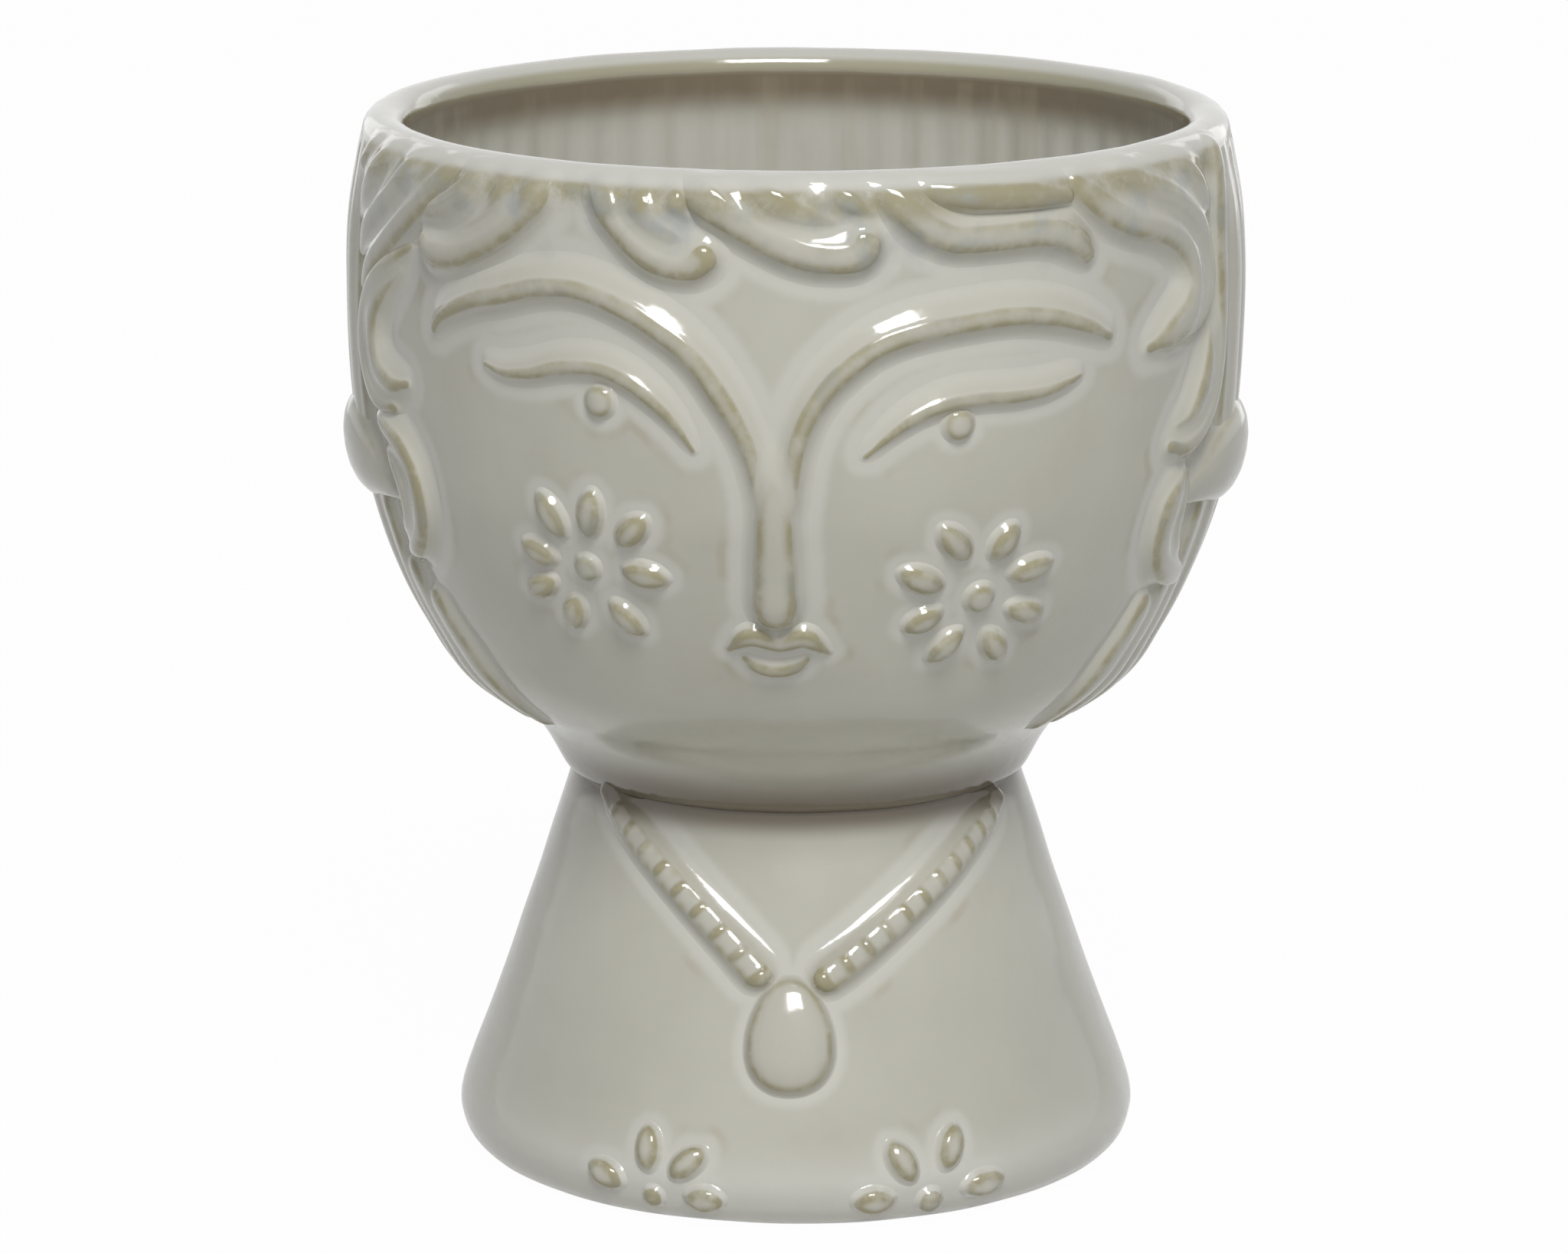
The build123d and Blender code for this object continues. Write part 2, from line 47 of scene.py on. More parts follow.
def smooth_line(points, spacing):
    """Run a smooth line through points of any dimension, sampled about every spacing."""
    points = np.array(points, float)
    ends = np.vstack([2 * points[0] - points[1], points, 2 * points[-1] - points[-2]])
    line = []
    for before, start, end, after in zip(ends, ends[1:], ends[2:], ends[3:]):
        count = max(int(np.linalg.norm((end - start)[:2]) / spacing), 1)
        for share in np.arange(count) / count:
            line.append(0.5 * (2 * start + (end - before) * share
                               + (2 * before - 5 * start + 4 * end - after) * share ** 2
                               + (3 * start - before - 3 * end + after) * share ** 3))
    line.append(points[-1])
    return np.array(line)


def put_in_scene(name, data):
    """Make an object of a mesh, a curve, a lamp or a camera, and put it in the scene."""
    thing = bpy.data.objects.new(name, data)
    bpy.context.collection.objects.link(thing)
    return thing


def note(mesh, name, values):
    """Leave a number on each point of a mesh, for its trees or its glaze to read."""
    mesh.attributes.new(name, "FLOAT", "POINT").data.foreach_set("value", values)


def draw_meridian(name, points, spacing=0.5):
    """Draw a body's meridian as a curve in the XZ plane, from (radius, height) in millimetres."""
    line = smooth_line(points, spacing) / 1000
    line[:, 0] = np.maximum(line[:, 0], 0)
    curve = bpy.data.curves.new(name, "CURVE")
    curve.dimensions = "3D"
    spline = curve.splines.new("POLY")
    spline.points.add(len(line) - 1)
    for point, (radius, height) in zip(spline.points, line):
        point.co = (radius, 0, height, 1)
    travel = np.concatenate([[0], np.cumsum(np.hypot(*np.diff(line, axis=0).T))])
    return put_in_scene(name, curve), line, travel


def start_tree(name, sockets):
    """Start a node tree that takes a geometry and named inputs, and gives a geometry."""
    tree = bpy.data.node_groups.new(name, "GeometryNodeTree")
    tree.interface.new_socket("Geometry", in_out="INPUT", socket_type="NodeSocketGeometry")
    for label, kind in sockets.items():
        tree.interface.new_socket(label, in_out="INPUT", socket_type="NodeSocket" + kind)
    tree.interface.new_socket("Geometry", in_out="OUTPUT", socket_type="NodeSocketGeometry")
    return tree, tree.nodes.new("NodeGroupInput").outputs, tree.nodes.new("NodeGroupOutput").inputs


def add_step(tree, kind, feeds, **settings):
    """Add one node, and feed its inputs, named or numbered, from sockets or plain values."""
    step = tree.nodes.new(kind)
    for key, value in settings.items():
        setattr(step, key, value)
    for key, value in feeds.items():
        if isinstance(value, bpy.types.NodeSocket):
            tree.links.new(value, step.inputs[key])
        else:
            step.inputs[key].default_value = value
    return step


def work_out(tree, operation, *values):
    """Add one sum, and give its result."""
    step = add_step(tree, "ShaderNodeMath", dict(enumerate(values)), operation=operation)
    return step.outputs[0]


def times(tree, number, *others):
    """Multiply numbers together."""
    for other in others:
        number = work_out(tree, "MULTIPLY", number, other)
    return number


def split(tree, vector):
    """Take a place or a direction apart into its three numbers."""
    return add_step(tree, "ShaderNodeSeparateXYZ", {0: vector}).outputs


def join(tree, numbers):
    """Put numbers together as a place, a turn or a size."""
    return add_step(tree, "ShaderNodeCombineXYZ", numbers).outputs[0]


def position(tree):
    """Give the place of each point of the clay."""
    return add_step(tree, "GeometryNodeInputPosition", {}).outputs[0]


def read_attribute(tree, name):
    """Read a number that an earlier step left on the clay."""
    step = add_step(tree, "GeometryNodeInputNamedAttribute", {"Name": name}, data_type="FLOAT")
    return step.outputs["Attribute"]


def mark(tree, geometry, name, value):
    """Leave a number on each point of the clay, for a later step or for the glaze."""
    return add_step(tree, "GeometryNodeStoreNamedAttribute", {
        "Geometry": geometry, "Name": name, "Value": value},
        data_type="FLOAT", domain="POINT").outputs[0]


def start_afresh(owner):
    """Give a material or a world a bare node tree."""
    owner.use_nodes = True
    owner.node_tree.nodes.clear()
    return owner.node_tree


def give_out(tree, kind, shader):
    """Send a shader to the output of its material or world."""
    tree.links.new(shader.outputs[0], tree.nodes.new(kind).inputs[0])


def grow_wheel():
    """Tree that wraps a flat sheet of (round, along, lift) about a body, on its meridian."""
    tree, given, result = start_tree("turn_on_wheel", {
        "Meridian": "Object", "Girth": "Float", "Unevenness": "Float", "Lump Size": "Float",
        "Glaze": "Material"})
    flat = split(tree, position(tree))
    meridian = add_step(tree, "GeometryNodeObjectInfo", {"Object": given["Meridian"]})
    spot = add_step(tree, "GeometryNodeSampleCurve", {
        "Curves": meridian.outputs["Geometry"], "Length": flat[1]},
        mode="LENGTH", use_all_curves=True)
    place = split(tree, spot.outputs["Position"])
    along = split(tree, spot.outputs["Tangent"])
    angle = work_out(tree, "DIVIDE", flat[0], given["Girth"])
    sine = work_out(tree, "SINE", angle)
    cosine = work_out(tree, "COSINE", angle)

    def turned(radius, height):
        return join(tree, {
            0: times(tree, radius, sine),
            1: times(tree, radius, cosine, -1),
            2: height})

    lumps = add_step(tree, "ShaderNodeTexNoise", {
        "Vector": turned(place[0], place[2]), "Detail": 1.0,
        "Scale": work_out(tree, "DIVIDE", 1, given["Lump Size"])})
    lump = times(tree, work_out(tree, "SUBTRACT", lumps.outputs[0], 0.5), given["Unevenness"])
    # The lumps die out within a centimetre of the axis, so that the poles stay closed
    off_axis = work_out(tree, "MINIMUM", times(tree, place[0], 100), 1)
    lift = work_out(tree, "ADD", flat[2], times(tree, lump, off_axis))
    radius = work_out(tree, "ADD", place[0], times(tree, along[2], lift))
    height = work_out(tree, "SUBTRACT", place[2], times(tree, along[0], lift))
    wrapped = add_step(tree, "GeometryNodeSetPosition", {
        "Geometry": given["Geometry"], "Position": turned(radius, height)})
    sealed = add_step(tree, "GeometryNodeMergeByDistance", {
        "Geometry": wrapped.outputs[0], "Distance": 2e-6})
    soft = add_step(tree, "GeometryNodeSetShadeSmooth", {"Geometry": sealed.outputs[0]})
    real = add_step(tree, "GeometryNodeRealizeInstances", {"Geometry": soft.outputs[0]})
    glazed = add_step(tree, "GeometryNodeSetMaterial", {
        "Geometry": real.outputs[0], "Material": given["Glaze"]})
    tree.links.new(glazed.outputs[0], result["Geometry"])
    return tree


def set_in_clay(name, mesh, *works):
    """Run trees over a mesh, one after another, and keep what comes out as a plain mesh."""
    piece = put_in_scene("glazed_" + name, mesh)
    for tree, values in works:
        work = piece.modifiers.new(tree.name, "NODES")
        work.node_group = tree
        for item in tree.interface.items_tree:
            if item.in_out == "INPUT" and item.name in values:
                work[item.identifier] = values[item.name]
    scene_state = bpy.context.evaluated_depsgraph_get()
    made = bpy.data.meshes.new_from_object(
        piece.evaluated_get(scene_state), preserve_all_data_layers=True, depsgraph=scene_state)
    piece.modifiers.clear()
    piece.data = made
    made.name = name
    return piece


def fix_on(piece, slot, *nodes):
    """Fix a piece to the vase's one body, in place of its CAD nodes."""
    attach(piece, "root")
    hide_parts(*nodes)
    return piece


def flat_sheet(name, across, along, lift=None):
    """Lay a flat sheet of clay with its columns across and its rows along, in metres."""
    columns, rows = len(across), len(along)
    x, y = np.meshgrid(across, along)
    points = np.stack([x, y, np.zeros_like(x) if lift is None else lift], axis=-1).reshape(-1, 3)
    corner = (np.arange(rows - 1)[:, None] * columns + np.arange(columns - 1)).reshape(-1)
    faces = np.stack([corner, corner + 1, corner + columns + 1, corner + columns], axis=1)
    mesh = bpy.data.meshes.new(name)
    mesh.from_pydata(points.tolist(), [], faces.tolist())
    return mesh


def mix_glaze(name, clear, broken):
    """A glossy pale glaze: straw where it breaks thin over edges, milky where it pools."""
    pooled, stain, blue_grey = (0.64, 0.63, 0.575), (0.435, 0.385, 0.28), (0.34, 0.36, 0.35)
    glaze = bpy.data.materials.new(name)
    tree = start_afresh(glaze)
    where = add_step(tree, "ShaderNodeTexCoord", {}).outputs["Object"]
    east, north, height = split(tree, where)

    def level(*shares):
        return times(tree, *shares)

    def cloud(size, detail, low, high):
        noise = add_step(tree, "ShaderNodeTexNoise", {
            "Vector": where, "Scale": 1 / size, "Detail": detail, "Roughness": 0.6})
        return add_step(tree, "ShaderNodeMapRange", {
            "Value": noise.outputs[0], "From Min": low, "From Max": high}).outputs[0]

    def ramp(value, low, high, to_low=0.0, to_high=1.0):
        return add_step(tree, "ShaderNodeMapRange", {
            "Value": value, "From Min": low, "From Max": high, "To Min": to_low,
            "To Max": to_high}, interpolation_type="SMOOTHSTEP").outputs[0]

    def band(value, low, full, still_full, high):
        return level(ramp(value, low, full), ramp(value, still_full, high, 1.0, 0.0))

    def tint(under, over, share):
        step = add_step(tree, "ShaderNodeMix", {0: share}, data_type="RGBA")
        for socket, colour in ((step.inputs[6], under), (step.inputs[7], over)):
            if isinstance(colour, bpy.types.NodeSocket):
                tree.links.new(colour, socket)
            else:
                socket.default_value = (*colour, 1)
        return step.outputs[2]

    flow, pool, near, inside = (
        add_step(tree, "ShaderNodeAttribute", {}, attribute_name=label).outputs["Fac"]
        for label in ("break", "pool", "near", "inside"))
    colour = tint(clear, [c * 0.93 for c in clear], cloud(0.030, 2.0, 0.35, 0.7))
    colour = tint(colour, stain, level(cloud(0.016, 4.0, 0.54, 0.80), 0.22))
    # Brown stains stand a little off each sprig, and white gathers at its foot and in hollows
    colour = tint(colour, stain, level(
        band(near, 0.25, 0.5, 0.6, 0.78), cloud(0.013, 2.0, 0.54, 0.68), 0.50))
    colour = tint(colour, pooled, level(ramp(near, 0.55, 0.95), 0.70))
    colour = tint(colour, pooled, level(ramp(pool, 0.10, 1.0), 0.65))
    # Paler at the bottom of the stand: milky glaze pooled at the foot, and painted light there
    colour = tint(colour, pooled, level(ramp(height, 0.018, 0.006), 0.9))
    # Straw shows on the crests, in patches and runs, with blue-grey where it is thickest
    mottle = work_out(tree, "ADD", cloud(0.0045, 3.0, 0.32, 0.58), 0.50)
    colour = tint(colour, broken, add_step(tree, "ShaderNodeClamp", {
        0: level(ramp(flow, 0.18, 0.80), mottle, 0.80)}).outputs[0])
    colour = tint(colour, blue_grey, level(
        ramp(flow, 0.1, 0.5), cloud(0.009, 3.0, 0.56, 0.72), 0.5))
    reach = work_out(tree, "SQRT", work_out(
        tree, "ADD", level(east, east), level(north, north)))
    outer = ramp(reach, 0.0740, 0.0752)
    # Mottled band under the lip, and a thin line of straw on the lip's inner edge
    colour = tint(colour, broken, level(
        band(height, 0.1810, 0.1850, 0.1864, 0.1876), outer, cloud(0.005, 4.0, 0.30, 0.56), 0.90))
    colour = tint(colour, (0.36, 0.39, 0.40), level(
        band(height, 0.168, 0.181, 0.1850, 0.1868), outer, cloud(0.009, 3.0, 0.50, 0.66), 0.55))
    # Paler on the lip's top: clean milky glaze, and painted light falling from above
    colour = tint(colour, pooled, level(ramp(height, 0.1868, 0.1882), 0.75))
    colour = tint(colour, broken, level(
        inside, band(height, 0.1845, 0.1868, 0.1875, 0.1888), 0.8))
    # Inside, brown with painted shade just under the lip, then pale glaze in faint upright streaks
    colour = tint(colour, (0.20, 0.155, 0.10), level(
        inside, band(height, 0.1765, 0.1830, 0.1850, 0.1870), 0.88))
    colour = tint(colour, pooled, level(inside, ramp(height, 0.180, 0.174, 0.0, 0.80)))
    turn = work_out(tree, "ARCTAN2", east, north)
    upright = join(tree, {0: level(turn, 11.0), 1: level(height, 14.0)})
    streaks = add_step(tree, "ShaderNodeTexNoise", {
        "Vector": upright, "Scale": 1.0, "Detail": 3.0})
    colour = tint(colour, stain, level(inside, ramp(streaks.outputs[0], 0.46, 0.68),
                                       ramp(height, 0.184, 0.186, 1.0, 0.0), 0.28))
    # Painted shade in the neck crease and under the bowl; thin grey specks at the bare foot ring
    colour = tint(colour, (0.17, 0.14, 0.095), band(height, 0.0655, 0.0700, 0.0725, 0.081))
    colour = tint(colour, (0.30, 0.31, 0.31), level(
        ramp(height, 0.0012, 0.0004), cloud(0.004, 2.0, 0.5, 0.6), 0.7))
    surface = add_step(tree, "ShaderNodeBsdfPrincipled", {
        "Base Color": colour, "Roughness": 0.13, "IOR": 1.52, "Coat Weight": 0.35,
        "Coat Roughness": 0.05})
    ripple = add_step(tree, "ShaderNodeTexNoise", {
        "Vector": where, "Scale": 1 / 0.005, "Detail": 2.0})
    skin = add_step(tree, "ShaderNodeBump", {
        "Height": ripple.outputs[0], "Strength": 0.10, "Distance": 0.0012})
    tree.links.new(skin.outputs[0], surface.inputs["Normal"])
    give_out(tree, "ShaderNodeOutputMaterial", surface)
    return glaze


wheel = grow_wheel()
unevenness = {"Unevenness": 0.0006, "Lump Size": 0.024}

bowl_points = (
    (0, 72), (20, 72), (36, 72), (39.6, 71.2), (40.9, 70.9), (41.9, 71.6), (43, 73.5),
    (44.2, 75.8), (45.5, 78), (47.2, 80.3), (50.0, 82.9), (54.2, 86.1), (58.4, 90), (61.6, 94),
    (64.4, 99), (67.0, 104), (69.6, 110), (71.8, 116), (73.9, 123), (75.5, 130), (76.7, 140),
    (77.2, 150), (77.2, 162), (76.9, 172), (76.9, 180), (77.0, 184), (76.8, 186.8), (75.9, 188.7),
    (74.2, 189.6), (72.4, 189.75), (70.6, 189.1), (69.4, 187.6), (69.0, 185.6), (69.0, 180),
    (69.0, 165), (69.0, 150), (67.6, 136), (64, 122), (58, 108), (48, 93), (40, 84), (34, 81.4),
    (24, 81), (12, 81), (0, 81),
)
bowl_meridian, bowl_line, bowl_travel = draw_meridian("bowl_meridian", bowl_points)
bowl_girth = 0.0772
bowl_crest = np.argmax(bowl_line[:, 1])
to_crest = bowl_travel[bowl_crest]
# Rows lie close together where the outside shows, and further apart under it and inside
row_spacing, outside_from, past_crest, inside_from = 0.00085, 0.038, 0.010, 0.0105
rows_under, rows_inside = 8, 46
bowl_rows = np.concatenate([
    np.linspace(0, outside_from, rows_under)[:-1],
    np.arange(outside_from, to_crest + past_crest, row_spacing),
    np.linspace(to_crest + inside_from, bowl_travel[-1], rows_inside)])
front_half, front_spacing, back_columns = 96, 0.56, 116
front_angles = np.radians(np.arange(-front_half, front_half, front_spacing))
back_angles = np.radians(np.linspace(front_half, 360 - front_half, back_columns))
bowl_angles = np.concatenate([front_angles, back_angles[:-1], front_angles[:1] + 2 * math.pi])
body_glaze = mix_glaze("body_glaze", (0.545, 0.533, 0.458), (0.370, 0.345, 0.215))
# The mould's combed hair shows inside as soft upright ripples
ripple_pitch, ripple_depth, ripples_from, ripples_to = 6, 0.00045, 0.011, 0.075
inside_rows = (bowl_rows > to_crest + ripples_from) & (bowl_rows < to_crest + ripples_to)
inside_rows = np.convolve(inside_rows.astype(float), (0.25, 0.5, 0.25), "same")
comb_start, comb_fade = 70, 8
round_turn = np.degrees(bowl_angles) % 360
combed = (np.clip((round_turn - comb_start) / comb_fade, 0, 1)
          * np.clip((360 - comb_start - round_turn) / comb_fade, 0, 1))
ripples = np.outer(inside_rows, combed * np.cos(np.radians(round_turn) * 360 / ripple_pitch))
bowl_sheet = flat_sheet("bowl", bowl_angles * bowl_girth, bowl_rows, ripples * ripple_depth)
inside_fade = 0.004
note(bowl_sheet, "inside", np.repeat(
    np.clip((bowl_rows - to_crest) / inside_fade, 0, 1), len(bowl_angles)))
bowl = set_in_clay("bowl", bowl_sheet, (wheel, {
    "Meridian": bowl_meridian, "Girth": bowl_girth, "Glaze": body_glaze, **unevenness}))
fix_on(bowl, "body_glaze", "head_bowl")


# The stand is a second slip casting, the vase's neck and shoulders, hollow and open below. It
# stands on a turned foot ring and is luted to the bowl at the neck under the same glaze.
stand_points = (
    (52.6, 0.6), (54.4, 0.15), (55.8, 0.35), (58.2, 1.4), (60.2, 3.6), (61.1, 6.4), (61.2, 8.4),
    (60.6, 11), (58.9, 16), (56.3, 23), (53.8, 30), (50.4, 40), (46.9, 50), (44.0, 59),
    (41.9, 65.4), (41.0, 68.2), (40.7, 69.6), (40.4, 71), (39.4, 72.4), (37.6, 73), (33.4, 72.4),
    (34.6, 60), (38.8, 45), (44.2, 25), (49.4, 8), (51.6, 1.6), (52.6, 0.6),
)
stand_meridian, stand_line, stand_travel = draw_meridian("stand_meridian", stand_points)
stand_girth, outside_to, hollow_from, rows_in_hollow = 0.055, 0.080, 0.081, 34
stand_rows = np.concatenate([
    np.arange(0, outside_to, row_spacing),
    np.linspace(hollow_from, stand_travel[-1], rows_in_hollow)])
stand = set_in_clay("stand", flat_sheet("stand", bowl_angles * stand_girth, stand_rows), (wheel, {
    "Meridian": stand_meridian, "Girth": stand_girth, "Glaze": body_glaze, **unevenness}))
fix_on(stand, "body_glaze", "neck_stand")


# The face is drawn in hand-rolled coils of soft clay. The brows sweep down and run into the nose,
# which swells to a round tip. Each coil is pressed on and smoothed at its foot by the glaze.

def soften(tree, value, rounds):
    """Even a number out over the clay, in a number of rounds."""
    return add_step(tree, "GeometryNodeBlurAttribute", {
        0: value, "Iterations": rounds}, data_type="FLOAT").outputs[0]


def compare(tree, value, operation, limit):
    """Say where a number is over or under a limit."""
    return add_step(tree, "FunctionNodeCompare", {
        0: value, 1: limit}, data_type="FLOAT", operation=operation).outputs[0]


def grow_press():
    """Tree that drapes glaze over coils laid out flat, and presses the result on a body."""
    tree, given, result = start_tree("press_sprig", {
        "Meridian": "Object", "Girth": "Float", "Grain": "Float", "Softness": "Int",
        "Squareness": "Float", "Ramp": "Float", "Wear": "Int", "Unevenness": "Float",
        "Lump Size": "Float", "Glaze": "Material"})
    margin, sink, trim_share, bed, reach_down = 0.005, 0.0001, 0.15, 0.0007, 0.05
    bare_curl, thin_film, least_ramp, slope_blur = 0.00032, 0.0012, 0.0001, 6
    # Each coil is a line of its own width, with a squared round section pressed to its relief
    paths = add_step(tree, "GeometryNodeMeshToCurve", {"Mesh": given["Geometry"]})
    ring = add_step(tree, "GeometryNodeCurvePrimitiveCircle", {"Resolution": 20, "Radius": 1.0})
    round_spot = position(tree)
    sides = split(tree, round_spot)
    powers = [work_out(tree, "POWER", work_out(tree, "ABSOLUTE", sides[i]), given["Squareness"])
              for i in range(2)]
    spread = work_out(tree, "POWER", work_out(tree, "ADD", *powers),
                      work_out(tree, "DIVIDE", -1, given["Squareness"]))
    squared_spot = add_step(tree, "ShaderNodeVectorMath", {
        0: round_spot, "Scale": spread}, operation="SCALE")
    squared = add_step(tree, "GeometryNodeSetPosition", {
        "Geometry": ring.outputs[0], "Position": squared_spot.outputs[0]})
    coils = add_step(tree, "GeometryNodeCurveToMesh", {
        "Curve": paths.outputs[0], "Profile Curve": squared.outputs[0], "Fill Caps": True,
        "Scale": read_attribute(tree, "half_width")})
    spot = split(tree, position(tree))
    squeezed = work_out(tree, "ADD", times(tree, spot[2], read_attribute(tree, "squeeze")),
                        read_attribute(tree, "lift"))
    pressed = add_step(tree, "GeometryNodeSetPosition", {
        "Geometry": coils.outputs[0],
        "Position": join(tree, {0: spot[0], 1: spot[1], 2: squeezed})})
    # A cloth of glaze is laid over the coils, with a margin round them
    box = add_step(tree, "GeometryNodeBoundBox", {"Geometry": pressed.outputs[0]})
    low, high = split(tree, box.outputs["Min"]), split(tree, box.outputs["Max"])
    sizes, counts, centre = [], [], []
    for i in range(2):
        size = work_out(tree, "ADD", work_out(tree, "SUBTRACT", high[i], low[i]), 2 * margin)
        sizes.append(size)
        counts.append(work_out(tree, "ADD", work_out(tree, "DIVIDE", size, given["Grain"]), 2))
        centre.append(times(tree, work_out(tree, "ADD", high[i], low[i]), 0.5))
    cloth = add_step(tree, "GeometryNodeMeshGrid", {
        "Size X": sizes[0], "Size Y": sizes[1], "Vertices X": counts[0], "Vertices Y": counts[1]})
    laid = add_step(tree, "GeometryNodeTransform", {
        "Geometry": cloth.outputs[0],
        "Translation": join(tree, {0: centre[0], 1: centre[1]})})
    # Each coil is felt where it lies, and again lower down, so that glaze ramps up to its top edge
    slope = 0
    for part, lower in ((1, 0), (0.62, 0.25), (0.36, 0.5), (0.17, 0.75), (0.06, 1)):
        start = join(tree, {1: times(tree, given["Ramp"], -lower), 2: reach_down})
        above = add_step(tree, "ShaderNodeVectorMath", {
            0: position(tree), 1: start}, operation="ADD")
        touch = add_step(tree, "GeometryNodeRaycast", {
            "Target Geometry": pressed.outputs[0], "Source Position": above.outputs[0],
            "Ray Direction": (0, 0, -1), "Ray Length": reach_down})
        found = split(tree, touch.outputs["Hit Position"])[2]
        height = times(tree, found, touch.outputs["Is Hit"], part)
        slope = work_out(tree, "MAXIMUM", slope, height)
        if part == 1:
            felt = height
    draped = mark(tree, mark(tree, laid.outputs[0], "felt", felt), "slope", slope)
    crisp = soften(tree, read_attribute(tree, "felt"), given["Softness"])
    milky = soften(tree, read_attribute(tree, "slope"), times(tree, given["Softness"], slope_blur))
    ramped = add_step(tree, "GeometryNodeSwitch", {
        0: compare(tree, given["Ramp"], "GREATER_THAN", least_ramp),
        1: crisp, 2: work_out(tree, "MAXIMUM", crisp, milky)}, input_type="FLOAT").outputs[0]
    settled = mark(tree, draped, "rise", ramped)
    # The glaze breaks where the clay stands out from round it, and pools in hollows and thin edges
    rise = read_attribute(tree, "rise")
    curl = work_out(tree, "DIVIDE", work_out(
        tree, "SUBTRACT", rise, soften(tree, rise, given["Wear"])), bare_curl)
    hollow = work_out(tree, "MAXIMUM", times(tree, curl, -1), work_out(
        tree, "SUBTRACT", 1, work_out(tree, "DIVIDE", rise, thin_film)))
    for name, value in (("break", curl), ("pool", hollow)):
        settled = mark(tree, settled, name, add_step(
            tree, "ShaderNodeClamp", {0: value}).outputs[0])
    # What touches nothing is cut away, and the rest gets a bed under it, sunk in the body's wall
    trimmed = add_step(tree, "GeometryNodeDeleteGeometry", {
        "Geometry": settled, "Selection": compare(tree, rise, "LESS_THAN", sink * trim_share)},
        domain="FACE")
    foot = add_step(tree, "GeometryNodeSetPosition", {
        "Geometry": trimmed.outputs[0], "Offset": (0, 0, -bed)})
    raised = add_step(tree, "GeometryNodeExtrudeMesh", {
        "Mesh": foot.outputs[0], "Offset": (0, 0, 1), "Offset Scale": bed, "Individual": False},
        mode="FACES")
    top = compare(tree, split(tree, position(tree))[2], "GREATER_THAN", -bed / 2)
    shaped = add_step(tree, "GeometryNodeSetPosition", {
        "Geometry": raised.outputs[0], "Selection": top, "Offset": join(tree, {
            2: work_out(tree, "SUBTRACT", read_attribute(tree, "rise"), sink)})})
    underside = add_step(tree, "GeometryNodeFlipFaces", {"Mesh": foot.outputs[0]})
    whole = add_step(tree, "GeometryNodeJoinGeometry", {})
    tree.links.new(underside.outputs[0], whole.inputs[0])
    tree.links.new(shaped.outputs[0], whole.inputs[0])
    feeds = {label: given[label] for label in (
        "Meridian", "Girth", "Unevenness", "Lump Size", "Glaze")}
    wrap = add_step(tree, "GeometryNodeGroup", {"Geometry": whole.outputs[0], **feeds},
                    node_tree=wheel)
    tree.links.new(wrap.outputs[0], result["Geometry"])
    return tree


press = grow_press()
sprigs = []
joint_height, bowl_height = 72.0, 118.0
outer_bowl = bowl_line[:bowl_crest + 1]


def along_bowl(height):
    """Travel along the bowl's meridian up to a height in millimetres on its outside."""
    return np.interp(height / 1000, outer_bowl[:, 1], bowl_travel[:len(outer_bowl)])


def girth_at(height):
    """Outside radius of the bowl in metres at a height in millimetres."""
    return np.interp(height / 1000, outer_bowl[:, 1], outer_bowl[:, 0])


def along_stand(height):
    """Travel along the stand's meridian up to a height in millimetres on its outside."""
    foot, top = np.argmin(stand_line[:, 1]), np.argmax(stand_line[:, 1])
    return np.interp(height / 1000, stand_line[foot:top, 1], stand_travel[foot:top])


def roll_coils(name, coils):
    """Lay coils out flat as lines of (x, y, half width, squeeze, lift) in metres."""
    points, edges, widths, squeezes, lifts = [], [], [], [], []
    for coil in coils:
        start = len(points)
        points += [(x, y, 0) for x, y, *rest in coil]
        edges += [(i, i + 1) for i in range(start, len(points) - 1)]
        widths += [max(row[2], 1e-5) for row in coil]
        squeezes += [row[3] for row in coil]
        lifts += [row[4] for row in coil]
    mesh = bpy.data.meshes.new(name)
    mesh.from_pydata(points, edges, [])
    note(mesh, "half_width", widths)
    note(mesh, "squeeze", squeezes)
    note(mesh, "lift", lifts)
    return mesh


def round_ends(line):
    """Close both ends of a coil with a round cap."""
    caps = []
    for end, inner in ((line[0], line[1]), (line[-1], line[-2])):
        heading = (end - inner)[:2] / max(np.linalg.norm((end - inner)[:2]), 1e-9)
        cap = []
        for turn in (0.5, 0.95, 1.25, 1.5):
            row = end.copy()
            row[:2] += heading * end[2] * math.sin(turn)
            row[2] *= math.cos(turn)
            cap.append(row)
        caps.append(cap)
    return np.vstack([caps[0][::-1], line, caps[1]])


# A coil that starts under the lip dives into it above this share of the bowl's height
lip_share, lip_dive, coil_spacing = 0.964, 130, 0.0007


def coil_on_bowl(stations, width, relief, girth):
    """A coil on the bowl through (angle, height share, size share), its width and relief in mm."""
    rows = []
    for angle, share, size in stations:
        dive = max(share - lip_share, 0) * lip_dive
        rows.append((
            math.radians(angle) * girth, along_bowl(joint_height + bowl_height * share),
            width * size / 2000, 2 * relief / width, -dive / 1000))
    return round_ends(smooth_line(rows, coil_spacing))


def press_on(name, mesh, girth, glaze, slot, nodes=None, body=bowl_meridian, first=(),
             grain=0.0003, softness=4, squareness=2.7, ramp=0.0, wear=10):
    """Press a laid-out mesh on a body as one sprig, in place of its own CAD node or of several."""
    piece = set_in_clay(name, mesh, *first, (press, {
        "Meridian": body, "Girth": girth, "Grain": grain, "Softness": softness,
        "Squareness": squareness, "Ramp": ramp, "Wear": wear, "Glaze": glaze, **unevenness}))
    sprigs.append(fix_on(piece, slot, *(nodes or [name])))


def press_coils(name, coils, *rest, **feel):
    """Lay coils out and press them on a body as one sprig."""
    press_on(name, roll_coils(name, coils), *rest, **feel)


